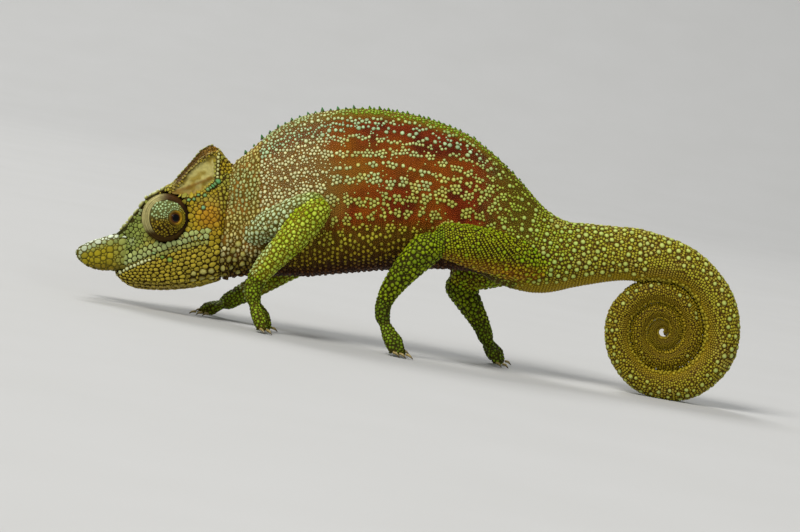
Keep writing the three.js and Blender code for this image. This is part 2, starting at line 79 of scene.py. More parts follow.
# Lengths in body millimetres: where rays from the side start, where the horns' root begins, how far a
# cluster's scales may be from the skin, and the sizes of the tail's coil
BESIDE = 20.0
HORN_ROOT = -43.6
ROSETTE_REACH = 0.9
COIL_HALF_WIDTH = 2.75
COIL_NARROWING = 0.66
LEAST_COIL_HALF = 0.28
# Rise, from 1 on the back's ridge to -1 under the belly, below which the flank has columns
LOW_FLANK = -0.5
# Share of a scattered scale's radius that must be free, and the step from one ring of eye beads to the next
FILL_ROOM = 0.92
EYE_BEAD_STEP = 1.86
NEIGHBOURS = tuple(product((-1, 0, 1), repeat=3))

Line = list[tuple[float, float]]
Shade = tuple[int, int, int]


# ---------------------------------------------------------------------------------------------
# Numbers and curves
# ---------------------------------------------------------------------------------------------
def smooth(low: float, high: float, value: np.ndarray) -> np.ndarray:
    """Eases from 0 at low to 1 at high."""
    t = np.clip((value - low) / (high - low), 0.0, 1.0)
    return t * t * (3.0 - 2.0 * t)


def bump(centre: float, width: float, value: np.ndarray) -> np.ndarray:
    """A bell of height 1 at centre."""
    return np.exp(-(((value - centre) / width) ** 2))


def unit(vectors: np.ndarray) -> np.ndarray:
    """Scales each row to length 1."""
    return vectors / np.maximum(np.linalg.norm(vectors, axis=-1, keepdims=True), 1e-12)


def catmull(values: np.ndarray, index: np.ndarray) -> np.ndarray:
    """Reads a list at fractional places along a Catmull-Rom curve.

    Args:
        values: the listed numbers.
        index: the fractional places, 0 being the first number.

    Returns:
        One number for each place.
    """
    values = np.asarray(values, dtype=float)
    last = len(values) - 1
    i = np.clip(np.floor(index).astype(int), 0, last - 1)
    f = index - i
    a, b, c, d = (values[np.clip(i + k, 0, last)] for k in (-1, 0, 1, 2))
    return b + 0.5 * f * (c - a + f * (2 * a - 5 * b + 4 * c - d + f * (3 * (b - c) + d - a)))


def value_noise(points: np.ndarray, cell: float, seed: float) -> np.ndarray:
    """Smooth noise from 0 to 1 that depends on place alone.

    Args:
        points: places in millimetres, one row each.
        cell: size of the blotches in millimetres.
        seed: chooses the pattern.

    Returns:
        One number for each place.
    """
    q = points / cell
    base = np.floor(q)
    f = q - base
    u = f * f * (3.0 - 2.0 * f)

    def corner(dx: int, dy: int, dz: int) -> np.ndarray:
        """Random number of one corner of each cell."""
        x, y, z = base[:, 0] + dx, base[:, 1] + dy, base[:, 2] + dz
        wave = np.sin(x * 127.1 + y * 311.7 + z * 74.7 + seed * 13.37) * 43758.5453
        return wave - np.floor(wave)

    total = np.zeros(len(points))
    for dx in (0, 1):
        for dy in (0, 1):
            for dz in (0, 1):
                weight = (
                    (u[:, 0] if dx else 1 - u[:, 0])
                    * (u[:, 1] if dy else 1 - u[:, 1])
                    * (u[:, 2] if dz else 1 - u[:, 2])
                )
                total += weight * corner(dx, dy, dz)
    return total


def polyline_distance(x: np.ndarray, z: np.ndarray, line: Line) -> np.ndarray:
    """Distance in the side plane from each place to a broken line.

    Args:
        x: body x of each place.
        z: body z of each place.
        line: the broken line, as (x, z) places.

    Returns:
        The distance of each place.
    """
    best = np.full(np.shape(x), 1e9)
    for (ax, az), (bx, bz) in zip(line[:-1], line[1:]):
        dx, dz = bx - ax, bz - az
        t = np.clip(((x - ax) * dx + (z - az) * dz) / (dx * dx + dz * dz), 0, 1)
        best = np.minimum(best, np.hypot(x - ax - t * dx, z - az - t * dz))
    return best


@dataclass
class Walk:
    """Distances along a broken line seen from the side."""

    line: Line

    def __post_init__(self) -> None:
        """Measures the line."""
        self.points = np.array(self.line, dtype=float)
        steps = np.linalg.norm(np.diff(self.points, axis=0), axis=1)
        self.marks = np.concatenate([[0.0], np.cumsum(steps)])
        self.length = self.marks[-1]

    def at(self, distance: float) -> tuple[float, float]:
        """Place at a distance from the line's beginning."""
        return tuple(float(np.interp(distance, self.marks, column)) for column in self.points.T)

    def way(self, distance: float) -> tuple[float, float, float]:
        """A short step along the line at a distance, as a body direction."""
        (x, z), (x_next, z_next) = self.at(distance), self.at(distance + 0.1)
        return x_next - x, 0.0, z_next - z


def linear(red: float, green: float, blue: float) -> np.ndarray:
    """A colour given as 0 to 255 in each channel, as linear light."""
    c = np.array([red, green, blue]) / 255.0
    return np.where(c <= 0.04045, c / 12.92, ((c + 0.055) / 1.055) ** 2.4)


def plain(shade: Shade, count: int) -> np.ndarray:
    """One colour in many rows."""
    return np.tile(linear(*shade), (count, 1))


def blend(a: np.ndarray, b: np.ndarray, share: np.ndarray) -> np.ndarray:
    """Mixes two colours, or arrays of them, by a share for each row."""
    share = np.clip(share, 0, 1)[:, None]
    return a * (1 - share) + b * share


def layered(colour: np.ndarray, *layers: tuple[Shade, np.ndarray]) -> np.ndarray:
    """Lays colours one over the other.

    Args:
        colour: the colours underneath, one row each.
        layers: each layer's colour and its share for each row.

    Returns:
        The colours with all layers, one row each.
    """
    for shade, share in layers:
        colour = blend(colour, linear(*shade), share)
    return colour


# ---------------------------------------------------------------------------------------------
# The animal's own frame and the lines it is built along
# ---------------------------------------------------------------------------------------------
@dataclass(frozen=True)
class BodyPlane:
    """The side plane the body is drawn in, pitched nose-down over the floor. Millimetres."""

    pitch: float = math.radians(10.0)
    offset_x: float = -1.111
    offset_y: float = -0.156
    offset_z: float = 8.103

    def to_world(self, p: np.ndarray) -> np.ndarray:
        """Body places in millimetres as world places in metres.

        Args:
            p: body places in millimetres, one row each.

        Returns:
            World places in metres, one row each.
        """
        c, s = math.cos(self.pitch), math.sin(self.pitch)
        x = p[:, 0] * c - p[:, 2] * s + self.offset_x
        z = p[:, 0] * s + p[:, 2] * c + self.offset_z
        return np.column_stack([x, p[:, 1] + self.offset_y, z]) * MM

    def to_body(self, w: np.ndarray) -> np.ndarray:
        """World places in metres as body places in millimetres.

        Args:
            w: world places in metres, one row each.

        Returns:
            Body places in millimetres, one row each.
        """
        c, s = math.cos(self.pitch), math.sin(self.pitch)
        x, y, z = w[:, 0] / MM - self.offset_x, w[:, 1] / MM - self.offset_y, w[:, 2] / MM - self.offset_z
        return np.column_stack([x * c + z * s, y, -x * s + z * c])

    def turn(self, v: np.ndarray) -> np.ndarray:
        """Body directions as world directions."""
        c, s = math.cos(self.pitch), math.sin(self.pitch)
        return np.column_stack([v[:, 0] * c - v[:, 2] * s, v[:, 1], v[:, 0] * s + v[:, 2] * c])

    def turn_back(self, v: np.ndarray) -> np.ndarray:
        """World directions as body directions."""
        c, s = math.cos(self.pitch), math.sin(self.pitch)
        return np.column_stack([v[:, 0] * c + v[:, 2] * s, v[:, 1], -v[:, 0] * s + v[:, 2] * c])


@dataclass
class BodyLine:
    """Neck, trunk and tail as ribs along one line that ends in the tail's coil."""

    tail_lift: float = math.radians(21.7)
    tail_root: tuple[float, float] = (20.3, 8.0)
    coil_centre: tuple[float, float] = (34.84, -11.7)
    coil_end_turn: float = 3.3
    coil_gap: float = 0.31
    trunk_end: float = 8.6
    ribs_per_turn: int = 8
    coarse_step: int = 8
    window: int = 64
    # x, z, half height, half width, lean in degrees, share of the tail's lift
    listed: tuple[tuple[float, ...], ...] = (
        (-28.0, 12.2, 9.2, 4.3, 0, 0),
        (-25.0, 12.9, 9.4, 4.7, 0, 0),
        (-20.0, 15.0, 11.4, 5.8, 0, 0),
        (-14.1, 16.3, 12.8, 6.5, 0, 0),
        (-6.3, 17.1, 12.9, 6.8, 0, 0),
        (1.6, 16.9, 12.2, 6.7, 0, 0),
        (9.4, 15.5, 11.0, 6.0, 0, 0),
        (13.5, 13.8, 9.7, 5.5, 8, 0.1),
        (16.8, 11.1, 8.4, 5.0, 18, 0.2),
        (20.3, 8.0, 6.9, 4.5, 28, 0.4),
        (23.7, 5.75, 6.05, 4.1, 33, 0.66),
        (27.8, 4.2, 5.15, 3.6, 33, 0.9),
        (32.0, 2.4, 4.4, 3.2, 30, 1.0),
        (35.9, 0.6, 4.05, 3.0, 33, 1.0),
    )
    coil_radii: tuple[float, ...] = (
        13.5, 12.2, 11.9, 11.3, 10.1, 9.2, 9.0, 8.5,
        7.3, 6.2, 6.15, 6.1, 5.7, 5.2, 5.0, 4.7,
        3.9, 3.1, 3.0, 2.95, 2.75, 2.45, 2.25, 2.0,
        1.5, 1.0, 0.85, 0.8, 0.7, 0.6, 0.5, 0.4,
        0.3, 0.2, 0.1, 0.0, -0.05, -0.1,
    )
    columns: np.ndarray = field(init=False)
    samples: np.ndarray = field(init=False)
    sample_index: np.ndarray = field(init=False)
    arc: np.ndarray = field(init=False)

    def __post_init__(self) -> None:
        """Lays out every rib and a fine walk along the line."""
        rows = []
        for x, z, h, w, lean, lift in self.listed:
            cx, cz = self.lifted(x, z, lift)
            angle = math.pi / 2 - math.radians(lean) + self.tail_lift * lift
            rows.append((cx, cz, math.cos(angle), math.sin(angle), h, w))
        centre = self.lifted(*self.coil_centre, 1.0)
        lead = 1 / self.ribs_per_turn
        turn = -lead
        while turn <= self.coil_end_turn:
            place = np.array([(turn + lead) * self.ribs_per_turn])
            outer = float(catmull(self.coil_radii, place)[0])
            inner = float(catmull(self.coil_radii, place + self.ribs_per_turn)[0]) + self.coil_gap
            h = max(LEAST_COIL_HALF, (outer - inner) / 2)
            angle = self.tail_lift - turn * 2 * math.pi
            c, s = math.cos(angle), math.sin(angle)
            middle = (centre[0] + c * (outer - h), centre[1] + s * (outer - h))
            rows.append((*middle, c, s, h, COIL_HALF_WIDTH * COIL_NARROWING**turn))
            turn += lead
        self.columns = np.array(rows).T
        self.sample_index = np.linspace(0, len(rows) - 1, 2400)
        rib = self.at(self.sample_index)
        self.samples = np.column_stack([rib[0], rib[1]])
        steps = np.linalg.norm(np.diff(self.samples, axis=0), axis=1)
        self.arc = np.concatenate([[0.0], np.cumsum(steps)])

    def lifted(self, x: float, z: float, share: float) -> tuple[float, float]:
        """A place swung up with the tail by a share of its lift.

        Args:
            x: body x of the place.
            z: body z of the place.
            share: share of the tail's lift.

        Returns:
            The place's new x and z.
        """
        rx, rz = self.tail_root
        c, s = math.cos(self.tail_lift * share), math.sin(self.tail_lift * share)
        return rx + (x - rx) * c - (z - rz) * s, rz + (x - rx) * s + (z - rz) * c

    def at(self, index: np.ndarray) -> np.ndarray:
        """Centre x, centre z, up x, up z, half height and half width at fractional ribs.

        Args:
            index: fractional ribs.

        Returns:
            Six rows of numbers, one column for each rib.
        """
        rib = np.array([catmull(column, index) for column in self.columns])
        length = np.hypot(rib[2], rib[3])
        rib[2] /= length
        rib[3] /= length
        return rib

    @staticmethod
    def keel(index: np.ndarray) -> np.ndarray:
        """How much narrower a rib is towards the back than towards the belly."""
        return 0.05 + 0.2 * np.exp(-(((index - 5) / 3.2) ** 2))

    def surface(self, index: np.ndarray, angle: np.ndarray, grow: np.ndarray | float = 0.0) -> np.ndarray:
        """Places on the body's surface; angle 0 is the ridge of the back, +pi/2 the right side.

        Args:
            index: fractional ribs.
            angle: angles round the body.
            grow: how far outside the surface, in millimetres.

        Returns:
            Body places, one row each.
        """
        cx, cz, ux, uz, h, w = self.at(index)
        narrowing = 1 - self.keel(index) * np.cos(angle)
        across = (w + grow) * np.sin(angle) * narrowing
        along = (h + grow) * np.cos(angle)
        return np.column_stack([cx + ux * along, across, cz + uz * along])

    def ahead(self, rib: float) -> np.ndarray:
        """Direction along the line at one fractional rib."""
        up_x, up_z = self.at(np.array([rib]))[2:4, 0]
        return np.array([up_z, 0.0, -up_x])

    def locate(self, points: np.ndarray) -> tuple[np.ndarray, np.ndarray, np.ndarray]:
        """Where places lie along and around the body.

        Args:
            points: body places, one row each.

        Returns:
            Fractional rib, angle around (0 is the back's ridge) and depth, which is 1 on the surface.
        """
        rib = self.at(self.sample_index)
        coarse = np.arange(0, len(self.samples), self.coarse_step)
        index = np.empty(len(points))
        for start in range(0, len(points), 20_000):
            x, z = points[start : start + 20_000, 0, None], points[start : start + 20_000, 2, None]
            relative = ((x - rib[0, coarse]) ** 2 + (z - rib[1, coarse]) ** 2) / rib[4, coarse] ** 2
            first = coarse[relative.argmin(axis=1)]
            window = np.arange(-self.window, self.window + 1, 2)
            tried = np.clip(first[:, None] + window, 0, len(self.samples) - 1)
            off_plane = np.abs((x - rib[0, tried]) * rib[3, tried] - (z - rib[1, tried]) * rib[2, tried])
            best = (off_plane + 0.002 * np.abs(window)).argmin(axis=1)
            index[start : start + 20_000] = self.sample_index[tried[np.arange(len(tried)), best]]
        cx, cz, ux, uz, h, w = self.at(index)
        along = ((points[:, 0] - cx) * ux + (points[:, 2] - cz) * uz) / h
        across = points[:, 1] / w
        angle = np.arctan2(across, along)
        for _ in range(2):
            angle = np.arctan2(across / (1 - self.keel(index) * np.cos(angle)), along)
        return index, angle, np.hypot(along, across / (1 - self.keel(index) * np.cos(angle)))

    def index_of_arc(self, arc: np.ndarray) -> np.ndarray:
        """Fractional rib at a distance along the line."""
        return np.interp(arc, self.arc, self.sample_index)

    def arc_of_index(self, index: np.ndarray) -> np.ndarray:
        """Distance along the line at a fractional rib."""
        return np.interp(index, self.sample_index, self.arc)


@dataclass
class Limb:
    """One leg: tube points [x, y outwards, z, radius] of its upper and lower lengths."""

    name: str
    side: int
    upper: tuple[tuple[float, ...], ...]
    lower: tuple[tuple[float, ...], ...]
    wrist: int = 2

    @property
    def leg(self) -> bool:
        """True for a hind leg."""
        return self.name.startswith("leg")

    @property
    def wrist_share(self) -> float:
        """Share of the lower length at which the hand or foot begins."""
        return 1 - self.wrist / (len(self.lower) - 1)

    def points(self, upper: bool) -> np.ndarray:
        """Tube points with y on the limb's own side.

        Args:
            upper: True for the upper length.

        Returns:
            Rows of x, y, z and radius.
        """
        p = np.array(self.upper if upper else self.lower, dtype=float)
        p[:, 1] *= self.side
        return p

    def at(self, upper: bool, t: np.ndarray) -> tuple[np.ndarray, np.ndarray]:
        """Centres and radii at shares of a length.

        Args:
            upper: True for the upper length.
            t: shares of that length, 0 to 1.

        Returns:
            Centres, one row each, and radii.
        """
        p = self.points(upper)
        index = t * (len(p) - 1)
        centre = np.column_stack([catmull(p[:, k], index) for k in range(3)])
        return centre, catmull(p[:, 3], index)

    def ring_frame(self, upper: bool, t: np.ndarray) -> tuple[np.ndarray, np.ndarray, np.ndarray]:
        """Direction of the tube, and two directions across it, at shares of a length.

        Args:
            upper: True for the upper length.
            t: shares of that length, 0 to 1.

        Returns:
            Three arrays of directions: ahead, outwards and square to both.
        """
        ahead = unit(self.at(upper, np.clip(t + 0.01, 0, 1))[0] - self.at(upper, np.clip(t - 0.01, 0, 1))[0])
        outward = np.tile([0.0, float(self.side), 0.0], (len(t), 1))
        outward = unit(outward - ahead * np.sum(outward * ahead, axis=1, keepdims=True))
        return ahead, outward, np.cross(ahead, outward)


LIMBS: tuple[Limb, ...] = (
    Limb(
        "arm_left",
        -1,
        ((-24.6, 1.6, 9.4, 2.0), (-22.0, 3.6, 10.7, 2.6), (-18.2, 6.4, 13.0, 2.4), (-13.9, 8.0, 15.1, 2.15),
         (-11.7, 8.5, 15.5, 1.9)),
        ((-11.3, 9.0, 15.3, 2.1), (-13.7, 9.3, 13.2, 2.5), (-16.4, 9.3, 10.0, 2.4), (-19.3, 8.9, 7.1, 2.1),
         (-21.8, 8.3, 4.1, 1.7), (-22.6, 8.0, 1.6, 1.55), (-22.3, 7.8, -0.3, 1.4)),
    ),
    Limb(
        "arm_right",
        1,
        ((-24.6, 1.6, 9.4, 2.0), (-22.0, 3.6, 10.3, 2.6), (-18.0, 6.2, 9.4, 2.4), (-14.8, 8.4, 8.3, 2.15),
         (-12.9, 9.0, 7.6, 1.9)),
        ((-12.8, 9.3, 7.3, 2.05), (-15.0, 9.4, 6.1, 2.4), (-18.4, 8.6, 4.4, 2.3), (-22.0, 7.3, 2.3, 2.0),
         (-25.2, 6.3, 0.5, 1.65), (-27.0, 5.9, -0.4, 1.5), (-28.2, 5.7, -1.2, 1.35)),
    ),
    Limb(
        "leg_left",
        -1,
        ((22.6, 1.4, 5.2, 2.6), (18.6, 3.0, 6.3, 3.5), (14.6, 5.4, 7.6, 3.5), (10.2, 7.4, 8.9, 3.35),
         (6.8, 8.3, 9.8, 2.8), (5.4, 8.5, 10.0, 2.3)),
        ((5.6, 9.0, 9.8, 2.7), (3.6, 9.3, 7.9, 2.7), (1.1, 9.0, 5.3, 2.3), (-1.0, 8.5, 2.7, 1.85),
         (-2.2, 8.1, 0.6, 1.5), (-2.7, 7.9, -1.6, 1.4), (-2.2, 7.8, -3.5, 1.3)),
    ),
    Limb(
        "leg_right",
        1,
        ((22.6, 1.4, 5.0, 2.6), (18.6, 3.0, 5.9, 3.5), (15.4, 5.8, 5.0, 3.4), (11.9, 8.2, 4.0, 3.1),
         (9.3, 9.2, 3.3, 2.6), (8.2, 9.4, 3.1, 2.1)),
        ((8.4, 9.7, 3.1, 2.5), (9.9, 9.7, 0.8, 2.5), (11.4, 9.1, -1.9, 2.0), (12.8, 8.6, -4.4, 1.6),
         (13.4, 8.3, -6.0, 1.45), (13.9, 8.1, -7.5, 1.3)),
    ),
)


@dataclass(frozen=True)
class EyePlan:
    """Sizes of an eye and its turret in millimetres; the gaze looks back and a little up."""

    x: float = -36.25
    y: float = 3.45
    z: float = 12.95
    lid: float = 3.85
    dome: float = 3.62
    ball: float = 3.1
    opening: float = 0.8
    collar_from: float = 0.9
    gaze_back: float = math.radians(30.0)

    def centre(self, side: int) -> np.ndarray:
        """Centre of the ball on one side."""
        return np.array([self.x, side * self.y, self.z])

    def gaze(self, side: int) -> np.ndarray:
        """Line of sight on one side."""
        g = np.array([math.sin(self.gaze_back), side * math.cos(self.gaze_back), 0.03])
        return g / np.linalg.norm(g)

    def covers(self, place: np.ndarray, side: int) -> bool:
        """True for a place on the turret."""
        return float(np.linalg.norm(place - self.centre(side))) < self.lid + 0.4

    def outward(self, side: int) -> np.ndarray:
        """Axis of the folds round the turret: sideways, a little forwards and up."""
        axis = np.array([-0.04, float(side), 0.02])
        return axis / np.linalg.norm(axis)

    def collar_edge(self, spin: np.ndarray) -> np.ndarray:
        """Angle from the outward axis at which the folds begin: far out behind, far in at the front."""
        return self.collar_from + 0.19 * np.cos(spin) + 0.02 * np.sin(3 * spin + 1)

    def fold_measures(self, way: np.ndarray, side: int) -> tuple[np.ndarray, np.ndarray]:
        """How far directions lie past the folds' beginning, and their angle round the outward axis.

        Args:
            way: directions from the eye's centre, one row each.
            side: -1 for the left eye and 1 for the right.

        Returns:
            Both measures in radians, one number for each direction.
        """
        out = self.outward(side)
        back, up = self.across(out, side)
        spin = np.arctan2(way @ up, way @ back)
        return np.arccos(np.clip(way @ out, -1, 1)) - self.collar_edge(spin), spin

    @staticmethod
    def creases(along: np.ndarray, spin: np.ndarray) -> np.ndarray:
        """Depth, 0 to 1, of the thin creases between the folds.

        Args:
            along: angles past the folds' beginning.
            spin: angles round the outward axis.

        Returns:
            The depth at each angle.
        """
        depth = np.zeros(np.broadcast(along, spin).shape)
        for place, deep, lean in ((0.075, 0.8, 0.02), (0.17, 0.9, 0.03), (0.28, 0.8, -0.03), (0.4, 1.0, 0.03),
                                  (0.55, 0.8, 0.0)):
            depth = np.maximum(depth, deep * bump(place, 0.026, along + lean * np.sin(2 * spin)))
        return depth

    @staticmethod
    def across(axis: np.ndarray, side: int) -> tuple[np.ndarray, np.ndarray]:
        """Two directions square to an axis: backwards and up.

        Args:
            axis: the axis.
            side: -1 for the left eye and 1 for the right.

        Returns:
            The backward and the upward direction.
        """
        g = axis
        up = np.array([0.0, 0.0, 1.0])
        up = up - g * float(up @ g)
        up /= np.linalg.norm(up)
        back = np.cross(g, up) * side
        return back * np.sign(back[0]), up


MOUTH = [(-46.5, 3.6), (-44.4, 4.5), (-42.0, 5.7), (-39.0, 7.0), (-35.5, 8.3), (-32.0, 9.3), (-29.6, 9.7)]
BROW = [
    (-44.9, 10.7), (-43.6, 11.3), (-42.0, 12.6), (-41.0, 14.3), (-39.8, 16.0), (-38.0, 17.0), (-36.3, 17.6),
]
CASQUE_RIM = [
    (-36.3, 17.7), (-35.7, 18.6), (-33.7, 20.6), (-32.4, 22.4), (-30.7, 23.9), (-29.1, 24.6), (-28.3, 24.4),
]
LATERAL_CREST = [(-35.2, 17.6), (-33.8, 18.8), (-32.5, 20.5), (-31.1, 21.9), (-29.1, 23.1)]
TEMPLE_FOLD = [(-35.3, 17.0), (-33.4, 17.5), (-31.6, 18.2), (-29.3, 19.1)]
TEMPLE_BEADS = [(-33.6, 15.6), (-32.6, 15.8), (-31.4, 16.1), (-30.3, 16.6), (-29.6, 17.4), (-28.6, 18.3)]
NAPE_BEADS = [(-28.2, 23.6), (-28.2, 22.2), (-28.2, 20.4), (-28.3, 18.9)]
JAW_KEEL = [(-45.6, 3.3), (-44.4, 2.6), (-42.2, 1.7), (-37.5, 1.1), (-32.8, 1.3), (-28.9, 1.9), (-25.0, 3.4)]
GULAR_PLATES = [
    (-30.5, 4.7), (-29.1, 4.85), (-27.4, 5.1), (-26.5, 6.5), (-25.7, 8.0), (-25.5, 6.6), (-25.0, 9.0),
    (-24.5, 7.4), (-24.4, 5.9), (-30.7, 3.6), (-29.2, 3.75), (-27.8, 3.9), (-26.2, 5.2), (-25.2, 4.6),
    (-31.9, 4.4), (-32.2, 3.4),
]
NOSTRIL = (-41.85, 7.65)
# Lines raised in the skin of the head's sides: line, height, width
RAISED_LINES = (
    (LATERAL_CREST, 0.24, 0.28), (TEMPLE_FOLD, 0.3, 0.42), (TEMPLE_BEADS, 0.24, 0.4), (NAPE_BEADS, 0.2, 0.45),
)
HORN_SEAM = [(-44.8, 10.7), (-43.5, 10.0), (-43.0, 9.3)]
# Larger coloured scales of the head: x, z, radius, colour
CHEEK_SPOTS = (
    (-29.0, 17.9, 0.46, (88, 146, 88)),
    (-28.2, 18.6, 0.44, (92, 148, 92)),
    (-30.4, 14.6, 0.4, (110, 152, 108)),
    (-32.1, 9.8, 0.45, (172, 168, 96)),
    (-30.9, 10.2, 0.42, (172, 168, 96)),
    (-36.8, 6.95, 0.4, (120, 150, 60)),
    (-35.6, 6.5, 0.4, (120, 150, 60)),
    (-38.1, 7.66, 0.36, (150, 180, 120)),
)
# Where the head's crests run beside the middle: x, half width
CREST_HALF_WIDTH = ((-44.8, -43.7, -42.0, -39.7, -36.7, -36.4), (2.0, 2.4, 2.7, 3.2, 3.3, 0.0))
FAN = (6.8, 20.5)
FAN_LINES = 168


def jaw_pitch(x: np.ndarray) -> np.ndarray:
    """Distance between the jaw's lengthwise rows, which fan out backwards."""
    return 0.44 + 0.026 * np.clip(x + 42, -2, 14)


def jaw_row(x: np.ndarray, z: np.ndarray) -> np.ndarray:
    """Which lengthwise row of the jaw a place lies in, counted up from the keel."""
    return (z - np.interp(x, *np.array(JAW_KEEL).T)) / jaw_pitch(x)


# ---------------------------------------------------------------------------------------------
# Markings: one description for the skin and for the scales on it
# ---------------------------------------------------------------------------------------------
class Region(IntEnum):
    """Parts of the body that have their own scales and colours."""

    HEAD = 0
    NECK = 1
    TRUNK = 2
    TAIL = 3
    UPPER_ARM = 4
    FOREARM = 5
    HAND = 6
    THIGH = 7
    SHANK = 8
    FOOT = 9


@dataclass
class Body:
    """Everything that places can be measured against."""

    plane: BodyPlane = field(default_factory=BodyPlane)
    line: BodyLine = field(default_factory=BodyLine)
    eye: EyePlan = field(default_factory=EyePlan)
    limbs: tuple[Limb, ...] = LIMBS

    def limb_fields(self, points: np.ndarray) -> tuple[np.ndarray, np.ndarray, np.ndarray, np.ndarray]:
        """Nearest limb length to each place.

        Args:
            points: body places, one row each.

        Returns:
            Height over the tube's surface, limb number, whether it is the upper length, share along it.
        """
        height = np.full(len(points), 1e9)
        limb_of = np.zeros(len(points), dtype=int)
        is_upper = np.zeros(len(points), dtype=bool)
        share = np.zeros(len(points))
        for number, limb in enumerate(self.limbs):
            for upper in (True, False):
                t = np.linspace(0, 1, 32)
                centres, radii = limb.at(upper, t)
                for k in range(len(t)):
                    d = np.linalg.norm(points - centres[k], axis=1) - radii[k]
                    nearer = d < height
                    height[nearer] = d[nearer]
                    limb_of[nearer] = number
                    is_upper[nearer] = upper
                    share[nearer] = t[k]
        return height, limb_of, is_upper, share

    def regions(self, points: np.ndarray) -> dict[str, np.ndarray]:
        """Finds the region and the measures of each place.

        Args:
            points: body places, one row each.

        Returns:
            Arrays by name: region, rib, angle round the body, limb number and share along its length.
        """
        index, angle, depth = self.line.locate(points)
        height, limb_of, is_upper, share = self.limb_fields(points)
        region = np.full(len(points), Region.TRUNK)
        region[index > self.line.trunk_end + 0.3] = Region.TAIL
        region[index < 1.7] = Region.NECK
        head = (points[:, 0] < -27.3 + 0.12 * (points[:, 2] - 12)) & (points[:, 2] > 0.5)
        over_body = (depth - 1) * self.line.at(index)[4]
        on_limb = height < np.minimum(over_body - 0.12, 0.9)
        reach = {True: (Region.UPPER_ARM, Region.THIGH), False: (Region.FOREARM, Region.SHANK)}
        for number, limb in enumerate(self.limbs):
            for upper in (True, False):
                chosen = on_limb & (limb_of == number) & (is_upper == upper)
                region[chosen] = reach[upper][limb.leg]
            tip = (Region.HAND, Region.FOOT)[limb.leg]
            region[on_limb & (limb_of == number) & ~is_upper & (share > limb.wrist_share)] = tip
        low_world = self.plane.to_world(points)[:, 2] / MM
        for number, limb in enumerate(self.limbs):
            toes = (limb_of == number) & (low_world < 5.5) & (np.sign(points[:, 1]) == limb.side)
            toes &= (over_body > 2.0) & ~head
            near = np.linalg.norm(points - limb.points(False)[-1][:3], axis=1) < 8
            region[toes & near & (share > 0.9) & ~is_upper] = (Region.HAND, Region.FOOT)[limb.leg]
        region[head & (height > 0.3)] = Region.HEAD
        return {"region": region, "rib": index, "angle": angle, "limb": limb_of, "share": share}


